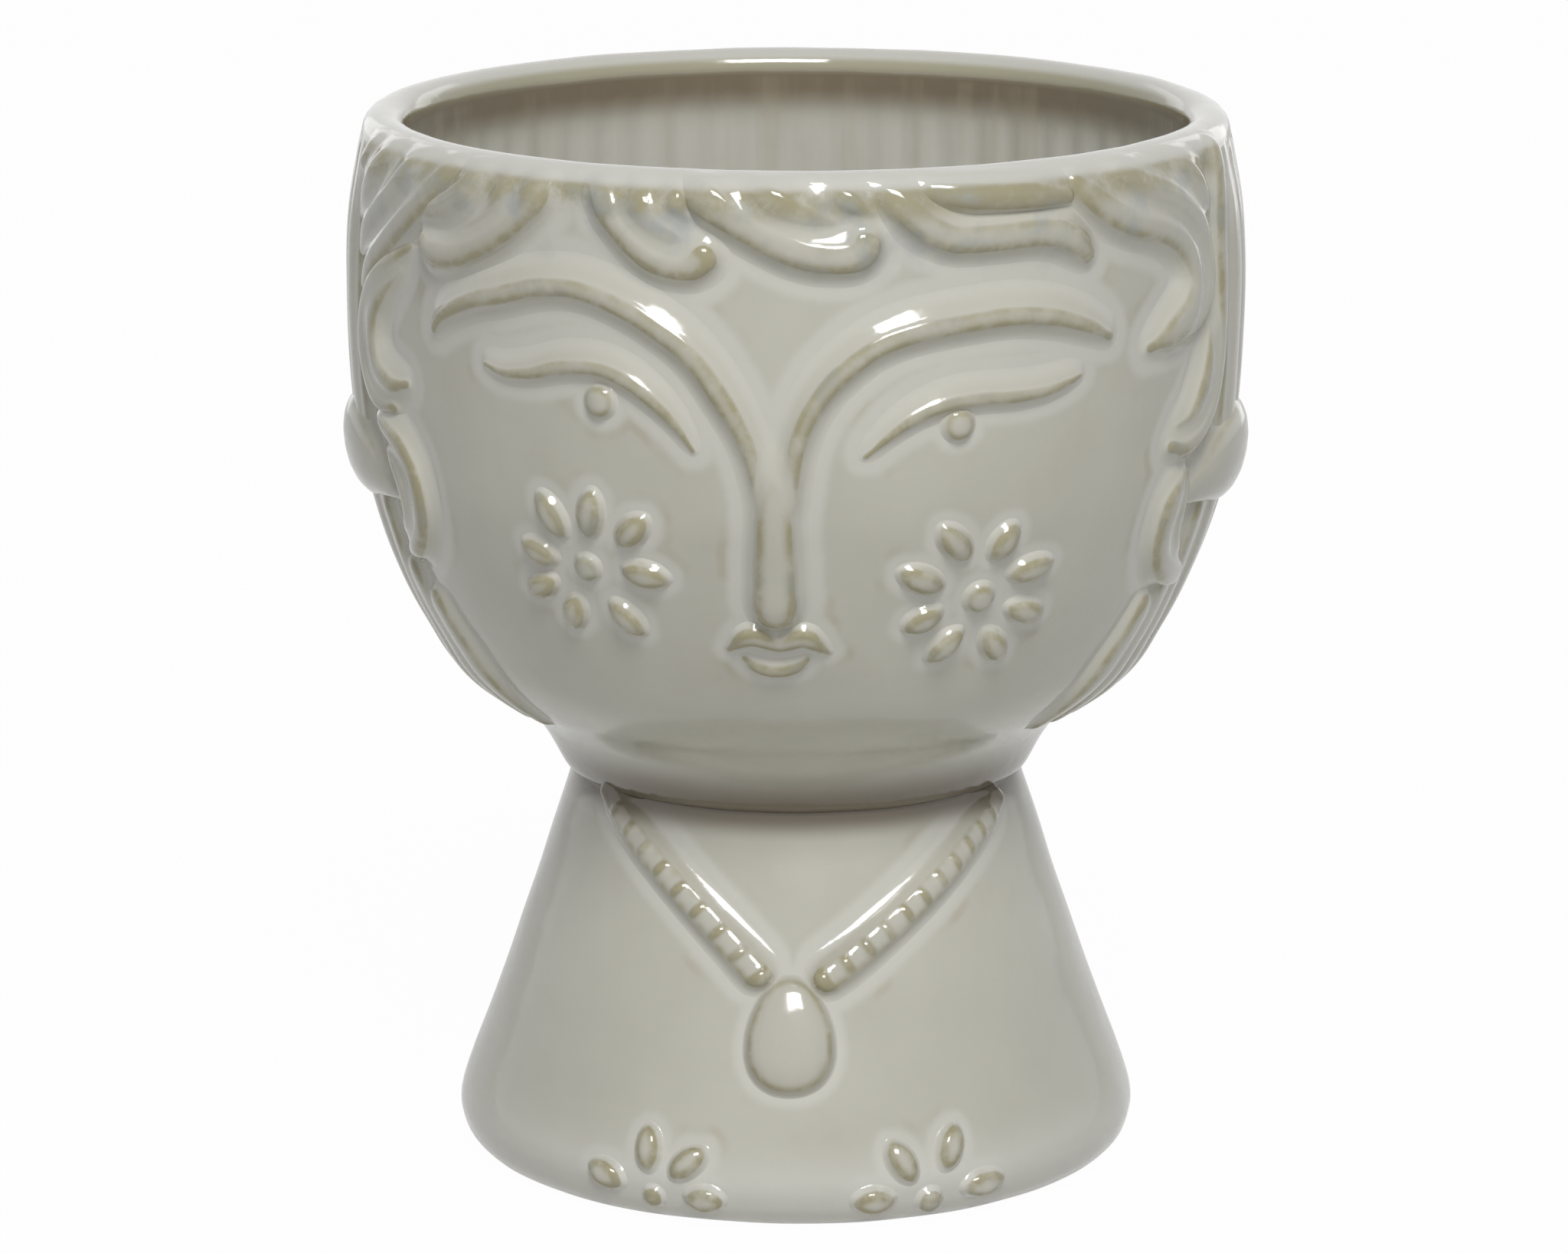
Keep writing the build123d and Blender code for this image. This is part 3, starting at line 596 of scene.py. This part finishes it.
sprig_colours = (0.545, 0.531, 0.455), (0.350, 0.318, 0.192)
face_glaze = mix_glaze("face_glaze", *sprig_colours)
face_girth = girth_at(155)
left_brow_line = (
    (-51, .731, .5), (-48.4, .758, .75), (-43, .786, .9), (-37.5, .803, 1), (-32, .82, 1),
    (-26, .823, 1), (-19.6, .801, 1), (-13.6, .762, 1), (-10, .725, 1), (-7, .676, 1),
    (-5, .636, .9), (-3.4, .589, .8), (-2.4, .52, .6))
right_brow_line = (
    (45.1, .736, .5), (41.3, .757, .8), (35.5, .778, .95), (29.5, .786, 1), (23, .781, 1),
    (17, .771, 1), (11.8, .751, 1), (7.4, .714, 1), (4.6, .676, .95), (2.8, .636, .9),
    (1.7, .589, .85), (1.2, .52, .7))
nose_line = (
    (-.6, .578, .42), (-.7, .55, .68), (-.7, .50, .86), (-.7, .42, .97), (-.7, .385, 1.03),
    (-.7, .368, 1.02))
brow_width, brow_relief, nose_width, nose_relief = 5.0, 2.5, 8.6, 3.7
press_coils("brows_and_nose", [
    coil_on_bowl(left_brow_line, brow_width, brow_relief, face_girth),
    coil_on_bowl(right_brow_line, brow_width, brow_relief, face_girth),
    coil_on_bowl(nose_line, nose_width, nose_relief, face_girth)],
    face_girth, face_glaze, "face_glaze", ("left_brow", "right_brow", "nose"),
    grain=0.00036, softness=5, squareness=2.5, ramp=0.0032, wear=14)


# The eyes are heavy lids of thin coil with a pellet of clay hung under each as the pupil, and the
# mouth is a bow of coil above a short smile. All are pressed on by hand and glazed with the face.
left_lid_line = (
    (-41, .696, .4), (-37.5, .689, .7), (-33, .695, .9), (-29.1, .707, 1), (-25.6, .712, 1),
    (-22, .709, 1), (-18.7, .693, 1), (-15.5, .666, .9), (-13, .636, .7), (-10.9, .598, .35))
right_lid_line = (
    (10.6, .592, .4), (14.4, .63, .8), (18, .654, .95), (22, .667, 1), (26, .67, 1),
    (30.1, .669, 1), (34.6, .672, .9), (38.2, .68, .7), (40.4, .686, .4))
upper_lip_line = (
    (-7.6, .296, .35), (-5.6, .314, .85), (-4, .321, 1), (-2, .314, .9), (-.4, .308, .8),
    (1.2, .313, .9), (3.1, .32, 1), (4.8, .308, .8), (6.6, .292, .35))
lower_lip_line = (
    (-5.4, .283, .5), (-3.6, .27, .9), (-.9, .264, 1), (1.8, .269, .9), (3.6, .281, .5))


def pellet(place, radius, squeeze):
    """A round pellet of clay, its radius in mm, at a place on a laid-out body."""
    return [(place[0] + radius / 1000 * math.sin(turn), place[1], radius / 1000 * math.cos(turn),
             squeeze, 0) for turn in np.linspace(-1.5, 1.5, 13)]


def pellet_on_bowl(angle, height, radius, relief, girth):
    """A round pellet of clay at an angle and a height in mm on the bowl."""
    return pellet((math.radians(angle) * girth, along_bowl(height)), radius, relief / radius)


mouth_girth = girth_at(107)
for name, line, width, relief, girth, ramp in (
        ("left_eyelid", left_lid_line, 3.7, 1.9, face_girth, 0.003),
        ("right_eyelid", right_lid_line, 3.5, 1.8, face_girth, 0.003),
        ("upper_lip", upper_lip_line, 4.4, 2.1, mouth_girth, 0.0),
        ("lower_lip", lower_lip_line, 3.4, 1.5, mouth_girth, 0.0)):
    press_coils(name, [coil_on_bowl(line, width, relief, girth)], girth, face_glaze, "face_glaze",
                ramp=ramp, wear=16)
pupil_radius, pupil_relief = 3.0, 1.9
for name, angle, height in (("left_pupil", -23.2, 150.2), ("right_pupil", 22.6, 146.7)):
    press_coils(name, [pellet_on_bowl(angle, height, pupil_radius, pupil_relief, face_girth)],
                face_girth, face_glaze, "face_glaze")


# The ears are plump leaves of soft clay, pressed flat by hand over the side hair with their
# points forward. Only their backs stand clear of the head.
ear_girth, ear_width, ear_relief = girth_at(130), 19.5, 5.2
ear_line = (
    (65, .452, .12), (69, .468, .42), (75, .488, .80), (82, .495, 1), (88, .490, 1),
    (94, .485, .86), (99, .485, .5))
for name, side in (("left_ear", -1), ("right_ear", 1)):
    leaf = [(side * angle, share, size) for angle, share, size in ear_line]
    press_coils(name, [coil_on_bowl(leaf, ear_width, ear_relief, ear_girth)], ear_girth,
                face_glaze, "face_glaze", grain=0.00036, softness=5, squareness=2.2)


# The hair is combed clay, pressed on in five tresses of side-by-side strands. They hang from
# under the lip round the sides and back to the nape, and the two front ones run forward under
# the ears to the jaw.
hair_glaze = mix_glaze("hair_glaze", *sprig_colours)
hair_start, tresses, strands_per_tress = 76.0, 5, 7
tress_sweep = (360 - 2 * hair_start) / tresses
strand_sweep = tress_sweep / strands_per_tress
strand_overlap, strand_relief, sway_size, sway_rate = 1.24, 2.65, 0.9, 2.3
strand_width = 1000 * math.radians(strand_sweep) * bowl_girth * strand_overlap
jaw_strands = (55, 63.5, .29), (61.5, 68.5, .33), (69, 73.5, .42)
jaw_width, jaw_relief = 9.5, 2.5
for i in range(tresses):
    lines = []
    for j in range(strands_per_tress):
        angle = hair_start + tress_sweep * i + strand_sweep * (j + 0.5)
        sway = sway_size * math.sin(sway_rate * (i * strands_per_tress + j))
        lines.append((
            (angle + sway * .6, .115, .62), (angle + sway, .19, .85), (angle - sway * .4, .36, 1),
            (angle + sway * .3, .62, 1), (angle - sway * .5, .84, 1), (angle, .985, .9)))
    # A thinner strand at each edge closes the gap to the next tress
    for edge in (hair_start + tress_sweep * i, hair_start + tress_sweep * (i + 1)):
        lines.append(((edge, .14, .5), (edge, .36, .66), (edge, .84, .66), (edge, .985, .6)))
    coils = [coil_on_bowl(line, strand_width, strand_relief, bowl_girth) for line in lines]
    if i in (0, tresses - 1):
        for low_edge, high_edge, top in jaw_strands:
            line = ((low_edge, .112, .5), ((low_edge + high_edge) / 2, .19, .9),
                    (high_edge, top, .8))
            if i == tresses - 1:
                line = [(360 - angle, share, size) for angle, share, size in line]
            coils.append(coil_on_bowl(line, jaw_width, jaw_relief, bowl_girth))
    press_coils(f"hair_tress_{i + 1}", coils, bowl_girth, hair_glaze, "hair_glaze",
                grain=0.00055, softness=3)


# The fringe and temple locks are small bundles of combed strands that start under the lip and
# curl to rounded tips over the forehead and beside the face. Each lock is pressed on whole.
lock_lines = {
    "centre_left_forelock": (5.3, (
        ((-24.6, 1.0, 1), (-23.4, .979, 1), (-22, .947, 1), (-20.6, .924, 1), (-18.4, .897, 1),
         (-15.9, .875, 1), (-13, .866, 1), (-10.9, .868, 1.05), (-9.6, .878, 1.05)),
        ((-20, 1.0, 1), (-19, .98, .95), (-17.8, .953, 1), (-16, .928, 1), (-13.3, .907, .8),
         (-11.6, .9, .5)),
        ((-15.2, 1.0, 1), (-14.6, .98, .9), (-13.2, .956, .9), (-11.8, .934, .5)))),
    "centre_forelock": (6.0, (
        ((-13.5, 1.0, 1), (-12, .98, 1), (-9, .959, 1), (-5, .931, 1), (-1, .905, 1), (3, .886, 1),
         (7, .88, 1), (9.6, .886, 1.05), (10.4, .897, 1)),
        ((-7.2, 1.0, .9), (-5, .978, .85), (-1, .959, .9), (3, .942, .75), (6.5, .932, .4)),
        ((3.5, 1.0, .7), (5.5, .978, .65), (8.7, .959, .65), (11.2, .941, .35)))),
    "right_forelock": (5.8, (
        ((10.5, 1.0, .9), (12.5, .979, .9), (15.5, .947, .95), (18.5, .92, 1), (22, .903, 1),
         (27, .901, 1), (32, .903, 1), (36.5, .897, 1), (39.4, .88, .95), (41, .862, .7)),)),
    "right_fringe_strand": (5.0, (
        ((16, .99, .6), (18.5, .973, .8), (23, .962, .95), (28, .958, 1), (33, .955, .95),
         (38, .949, .6)),)),
    "left_forelock": (5.7, (
        ((-30.5, 1.0, 1), (-31, .979, 1), (-32, .953, 1), (-34, .928, 1), (-37.5, .897, 1),
         (-41.5, .871, 1), (-46, .85, 1), (-50.3, .846, 1), (-52, .857, .9)),
        ((-35.2, 1.0, .9), (-35.8, .978, .9), (-37, .949, .85), (-39.2, .92, .85),
         (-42.2, .897, .8), (-46, .88, .65), (-49.2, .873, .35)),
        ((-39.6, 1.0, .9), (-40.5, .976, .9), (-43, .947, 1), (-46.5, .924, 1), (-50.5, .907, .85),
         (-54.5, .89, .45)))),
    "left_temple_hair": (5.8, (
        ((-44.5, 1.0, .9), (-46.3, .974, .9), (-50, .94, .9), (-54, .909, 1), (-58.5, .872, 1),
         (-63, .837, 1), (-68, .798, 1), (-72.4, .76, .7)),
        ((-50.5, 1.0, .9), (-52.3, .975, .9), (-56.4, .945, 1), (-60.7, .914, 1), (-65.2, .883, 1),
         (-70, .847, 1), (-74, .81, .7)),
        ((-59, 1.0, .9), (-61, .975, .9), (-65.4, .941, 1), (-69.6, .905, 1), (-73.8, .861, .7)),
        ((-67.5, 1.0, .9), (-68.6, .975, .9), (-72, .941, .8)))),
    "left_temple_curl": (5.6, (
        ((-57, .842, .4), (-62, .81, .85), (-66.8, .771, 1), (-70.4, .727, 1), (-71.4, .678, 1),
         (-70, .633, 1), (-66.5, .603, 1), (-62, .598, .65)),
        ((-59.3, .803, .4), (-63.6, .77, .85), (-66.5, .731, 1), (-67.1, .686, 1),
         (-65.5, .649, 1), (-62, .631, .85), (-58, .636, .4)))),
    "left_jaw_curl": (5.0, (
        ((-70, .57, .4), (-66, .563, .85), (-61, .547, 1), (-57.8, .515, 1), (-56.8, .47, 1),
         (-58.2, .422, 1), (-61.9, .385, 1), (-66.8, .368, .6)),
        ((-67, .531, .4), (-63.6, .515, .85), (-61.2, .483, .95), (-60.9, .446, .95),
         (-63, .414, .85), (-67, .398, .45)))),
    "right_temple_lock": (6.2, (
        ((39.5, .965, .6), (41, .949, .8), (44.5, .922, .95), (49, .9, 1), (54, .884, 1),
         (58.5, .86, 1), (61.6, .826, 1), (62.6, .788, 1.05), (61, .751, 1.1), (57, .725, .95),
         (53, .707, .45)),
        ((44, .99, .7), (46, .975, .85), (51, .947, .9), (56, .926, .95), (61, .898, .95),
         (64.8, .863, .95), (66.9, .82, .9), (67.2, .776, .9), (64.8, .736, .8), (60.5, .712, .5)),
        ((56.5, .99, .6), (58, .975, .65), (62.5, .945, .75), (66.3, .905, .75),
         (68.6, .864, .4)))),
    "right_side_lock": (5.4, (
        ((70.8, 1.0, 1), (71.2, .975, 1), (71.6, .898, 1), (71.9, .814, 1), (71.9, .729, 1),
         (71.2, .657, 1), (69.5, .602, 1), (66.5, .566, 1), (62.5, .546, .9), (59.2, .549, .6)),
        ((69.4, .729, .4), (68, .669, .85), (66, .623, 1), (63.2, .587, .8), (60.2, .575, .45)))),
    "right_jaw_lock": (6.2, (
        ((63.6, .497, .6), (60.8, .462, 1), (60.3, .415, 1), (62.3, .373, 1), (66.5, .346, 1),
         (71.5, .33, .9), (76, .32, .6)),
        ((66.3, .478, .4), (64.8, .446, .7), (65, .407, .75), (67.6, .373, .7),
         (71.5, .353, .4)))),
}
lock_spread, lock_relief = 1.14, 2.75
for name, (width, lines) in lock_lines.items():
    girth = girth_at(120 if "jaw" in name else 165)
    coils = [coil_on_bowl(line, width * lock_spread, lock_relief, girth) for line in lines]
    press_coils(name, coils, girth, hair_glaze, "hair_glaze",
                grain=0.00036, softness=5, squareness=2.4, ramp=0.0024, wear=18)


# The flowers are soft clay, pressed on petal by petal: eight almond petals round a pellet on each
# cheek, and a half flower rising from the foot on each side of the stand.
flower_glaze = mix_glaze("flower_glaze", *sprig_colours)


def grow_petals():
    """Tree that sets one petal's line on every point, turned and drawn out as the point says."""
    tree, given, result = start_tree("lay_petals", {"Petal": "Object", "Plumpness": "Float"})
    petal = add_step(tree, "GeometryNodeObjectInfo", {"Object": given["Petal"]})
    length = read_attribute(tree, "length")
    laid = add_step(tree, "GeometryNodeInstanceOnPoints", {
        "Points": given["Geometry"], "Instance": petal.outputs["Geometry"],
        "Rotation": join(tree, {2: read_attribute(tree, "turn")}),
        "Scale": join(tree, {0: length, 1: length, 2: length})})
    real = add_step(tree, "GeometryNodeRealizeInstances", {"Geometry": laid.outputs[0]})
    fat = mark(tree, real.outputs[0], "half_width", times(
        tree, read_attribute(tree, "half_width"), given["Plumpness"]))
    tree.links.new(fat, result["Geometry"])
    return tree


lay_petals = grow_petals()
petal_half_width, petal_squeeze, petal_plumpness, pellet_relief = 0.00225, 0.9, 1.1, 1.9
petal_rows = [(place / 2, 0, petal_half_width * (1 - abs(place) ** 2.2) ** 0.75 + 0.00001,
               petal_squeeze, 0) for place in np.linspace(-1, 1, 15)]
petal_line = put_in_scene("petal_line", roll_coils("petal_line", [petal_rows]))


def plant_flower(name, petals, girth, meridian, place):
    """Press a flower's petals, each (across, up, turn, length) in mm and degrees."""
    points = bpy.data.meshes.new(name)
    points.from_pydata([
        (place[0] + x / 1000, place[1] + y / 1000, 0) for x, y, *rest in petals], [], [])
    note(points, "turn", [math.radians(petal[2]) for petal in petals])
    note(points, "length", [petal[3] / 1000 for petal in petals])
    press_on(f"{name}_petals", points, girth, flower_glaze, "flower_glaze",
             [f"{name}_petal_{i + 1}" for i in range(len(petals))], meridian,
             [(lay_petals, {"Petal": petal_line, "Plumpness": petal_plumpness})],
             squareness=2.6, wear=14)


cheek_flowers = {
    "left_cheek": (-26.9, 120.3, 2.6, (
        (-5.65, 9.25, 118.8, 10.2), (1.95, 10.3, 81.5, 10.1), (9.35, 7.9, 45.5, 8.7),
        (10.9, -.25, -8.9, 9.7), (6.3, -9.2, -47.6, 9.5), (-4.45, -9.3, -114, 8.5),
        (-10.35, -4.65, -153.7, 8.4), (-9.4, 2.0, 159, 8.4))),
    "right_cheek": (27.7, 115.2, 2.95, (
        (-5.85, 11.1, 129.5, 9.6), (3.0, 10.5, 60.4, 8.5), (9.2, 4.65, 11, 10),
        (9.85, -3.65, -17, 9.7), (4.95, -10.15, -51, 9.7), (-5.15, -9.2, -134, 9.4),
        (-10, -3.55, -153, 8.5), (-11.1, 4.5, 154, 10))),
}
for name, (angle, height, radius, petals) in cheek_flowers.items():
    girth = girth_at(height)
    plant_flower(name, petals, girth, bowl_meridian,
                 (math.radians(angle) * girth, along_bowl(height)))
    press_coils(f"{name}_flower_centre", [
        pellet_on_bowl(angle, height, radius, pellet_relief, girth)],
        girth, flower_glaze, "flower_glaze")

foot_flowers = {
    "left_foot": (-22.2, 5.4, 2.1, (
        (-9.2, 2.9, 160, 8.6), (-1.4, 8.5, 98, 9.2), (6.2, 6.7, 42, 9), (9.4, .5, 0, 8.2))),
    "right_foot": (24.5, 5.0, 2.5, (
        (-10.2, .9, 0, 8.6), (-5, 7.4, 118, 9.2), (4.4, 9, 66, 9.4), (10.4, 1.7, 4, 9.6))),
}
foot_girth, foot_pellet_squeeze = 0.060, 0.8
for name, (angle, height, radius, petals) in foot_flowers.items():
    place = (math.radians(angle) * foot_girth, along_stand(height))
    plant_flower(name, petals, foot_girth, stand_meridian, place)
    press_coils(f"{name}_flower_centre", [pellet(place, radius, foot_pellet_squeeze)],
                foot_girth, flower_glaze, "flower_glaze", body=stand_meridian, squareness=2.4,
                wear=14)


# The necklace is two twisted ropes of clay, rolled and pressed on the stand with slip. They run
# from the crease of the neck down to the pendant, a domed drop of clay with its small end up.
jewel_glaze = mix_glaze("jewel_glaze", *sprig_colours)


def grow_rope():
    """Tree that lays short slanted strands along a path and over it, as the lay of a rope."""
    tree, given, result = start_tree("lay_rope", {
        "Strand": "Object", "Pitch": "Float", "Slant": "Float"})
    path = add_step(tree, "GeometryNodeMeshToCurve", {"Mesh": given["Geometry"]})
    stops = add_step(tree, "GeometryNodeCurveToPoints", {
        "Curve": path.outputs[0], "Length": given["Pitch"]}, mode="LENGTH")
    heading = split(tree, stops.outputs["Tangent"])
    turn = work_out(tree, "ADD", work_out(tree, "ARCTAN2", heading[1], heading[0]), given["Slant"])
    strand = add_step(tree, "GeometryNodeObjectInfo", {"Object": given["Strand"]})
    laid = add_step(tree, "GeometryNodeInstanceOnPoints", {
        "Points": stops.outputs["Points"], "Instance": strand.outputs["Geometry"],
        "Rotation": join(tree, {2: turn})})
    real = add_step(tree, "GeometryNodeRealizeInstances", {"Geometry": laid.outputs[0]})
    whole = add_step(tree, "GeometryNodeJoinGeometry", {})
    tree.links.new(given["Geometry"], whole.inputs[0])
    tree.links.new(real.outputs[0], whole.inputs[0])
    tree.links.new(whole.outputs[0], result["Geometry"])
    return tree


lay_rope = grow_rope()
lay_half_length, lay_half_width, lay_bend, lay_squeeze = 0.0025, 0.0021, 0.0006, 1.32
strand_rows = [(lay_half_length * place, lay_bend * math.sin(1.9 * place),
                lay_half_width * (1 - place ** 2) ** 0.5 + 0.00001, lay_squeeze, 0)
               for place in np.linspace(-1, 1, 15)]
rope_strand = put_in_scene("rope_strand", roll_coils("rope_strand", [strand_rows]))
rope_girth, core_half_width, core_squeeze, stand_height = 0.0475, 0.0031, 0.75, 72
necklace_lines = {
    "left_necklace": (0.0050, 0.70, (
        (-51, .985), (-48.9, .965), (-39.8, .901), (-30.6, .837), (-21.4, .762), (-12.2, .676),
        (-5.3, .601))),
    "right_necklace": (0.0046, 0.80, (
        (60, .955), (56.7, .931), (47.5, .879), (38.3, .821), (29.1, .757), (19.9, .688),
        (11.7, .624), (7.5, .594))),
}
for name, (pitch, slant, line) in necklace_lines.items():
    core = smooth_line([(
        math.radians(angle) * rope_girth, along_stand(stand_height * share), core_half_width,
        core_squeeze, 0) for angle, share in line], 0.001)
    press_coils(name, [core], rope_girth, jewel_glaze, "jewel_glaze", body=stand_meridian,
                first=[(lay_rope, {"Strand": rope_strand, "Pitch": pitch, "Slant": slant})],
                squareness=2.2, ramp=0.0026, wear=22)

pendant_girth, pendant_height, pendant_angle = 0.0505, 33.65, .8
half_length, half_width, taper, pendant_squeeze = 0.0105, 7.4, 0.16, 0.5
pendant_place = math.radians(pendant_angle) * pendant_girth, along_stand(pendant_height)
pendant_rows = []
for turn in np.linspace(-1.54, 1.54, 25):
    up = math.sin(turn)
    half = half_width * math.cos(turn) ** 0.92 * (1 - taper * up)
    pendant_rows.append((
        pendant_place[0], pendant_place[1] + half_length * up, max(half, .01) / 1000,
        pendant_squeeze, 0))
press_coils("pendant", [pendant_rows], pendant_girth, jewel_glaze, "jewel_glaze",
            body=stand_meridian, squareness=2.4, wear=14)


# The glaze goes on over everything in one dip and is fired on. It gathers in a milky line round
# the foot of each sprig, so the bowl and the stand are marked with how near a sprig lies.
sprig_points, sprig_faces = [], []
for sprig in sprigs:
    start = len(sprig_points)
    sprig_points += [vertex.co.copy() for vertex in sprig.data.vertices]
    sprig_faces += [[start + i for i in face.vertices] for face in sprig.data.polygons]
dressed = BVHTree.FromPolygons(sprig_points, sprig_faces)
glaze_reach = 0.005
for cast in (bowl, stand):
    nearness = []
    for vertex in cast.data.vertices:
        hit = dressed.find_nearest(vertex.co, glaze_reach)
        nearness.append(1 - hit[3] / glaze_reach if hit[0] is not None else 0.0)
    note(cast.data, "near", nearness)
for helper in (bowl_meridian, stand_meridian, petal_line, rope_strand):
    bpy.data.objects.remove(helper)


# The vase stands on a plain pale table in a white room, which aren't part of it. Two broad soft
# walls of light, one in front and one behind, a smaller box above the camera and two strips
# behind the vase light it.
floor_lines = np.linspace(-2.5, 2.5, 5)
floor = put_in_scene("floor", flat_sheet("floor", floor_lines, floor_lines))
table_top = bpy.data.materials.new("white_table")
tree = start_afresh(table_top)
matt = add_step(tree, "ShaderNodeBsdfDiffuse", {"Color": (0.72, 0.72, 0.71, 1)})
white = add_step(tree, "ShaderNodeEmission", {"Color": (1, 1, 1, 1), "Strength": 1.0})
sight = add_step(tree, "ShaderNodeLightPath", {}).outputs
white_share, mirrored_share = 0.98, 0.6
share = times(tree, white_share, work_out(
    tree, "MAXIMUM", sight["Is Camera Ray"], times(tree, sight["Is Glossy Ray"], mirrored_share)))
seen = add_step(tree, "ShaderNodeMixShader", {0: share, 1: matt.outputs[0], 2: white.outputs[0]})
give_out(tree, "ShaderNodeOutputMaterial", seen)
floor.data.materials.append(table_top)

room = bpy.data.worlds.new("white_room")
bpy.context.scene.world = room
tree = start_afresh(room)
sight = add_step(tree, "ShaderNodeLightPath", {}).outputs
seen_or_mirrored = work_out(tree, "MAXIMUM", sight["Is Camera Ray"], work_out(
    tree, "MAXIMUM", sight["Is Glossy Ray"], sight["Is Transmission Ray"]))
room_light = 0.10
glow = work_out(tree, "ADD", room_light, times(tree, seen_or_mirrored, 1 - room_light))
air = add_step(tree, "ShaderNodeBackground", {"Color": (1, 1, 1, 1), "Strength": glow})
give_out(tree, "ShaderNodeOutputWorld", air)

lamp_target = Vector((0, 0, 0.10))
for name, place, size, power, mirrored in (
        ("front_wall", (0.05, -2.00, 1.20), (2.4, 1.1), 9, False),
        ("key_box", (0.22, -1.35, 1.72), (0.80, 0.65), 27, True),
        ("left_rim", (-0.62, 1.25, 0.45), (0.35, 1.0), 0.5, True),
        ("right_rim", (0.66, 1.20, 0.45), (0.35, 1.0), 0.9, True),
        ("back_wall", (0.15, 2.00, 1.30), (2.4, 1.1), 5.0, False)):
    lamp = bpy.data.lights.new(name, "AREA")
    lamp.shape = "RECTANGLE"
    lamp.size, lamp.size_y = size
    lamp.energy = power
    hung = put_in_scene(name, lamp)
    hung.location = place
    hung.rotation_euler = (lamp_target - Vector(place)).to_track_quat("-Z", "Y").to_euler()
    hung.visible_camera, hung.visible_glossy = False, mirrored

camera_data = bpy.data.cameras.new("camera")
camera_data.sensor_width = 36
camera_data.lens = 150.25
camera_data.shift_x, camera_data.shift_y = -0.0078, -0.0018
camera_data.clip_start, camera_data.clip_end = 0.05, 20
camera = put_in_scene("camera", camera_data)
distance, height, swing, tilt = 1.15, 0.3631, math.radians(2.0), math.radians(13.10)
camera.location = (distance * math.sin(swing), -distance * math.cos(swing), height)
camera.rotation_euler = (math.radians(90) - tilt, 0, swing)
bpy.context.scene.camera = camera
bpy.context.scene.view_settings.view_transform = "Standard"
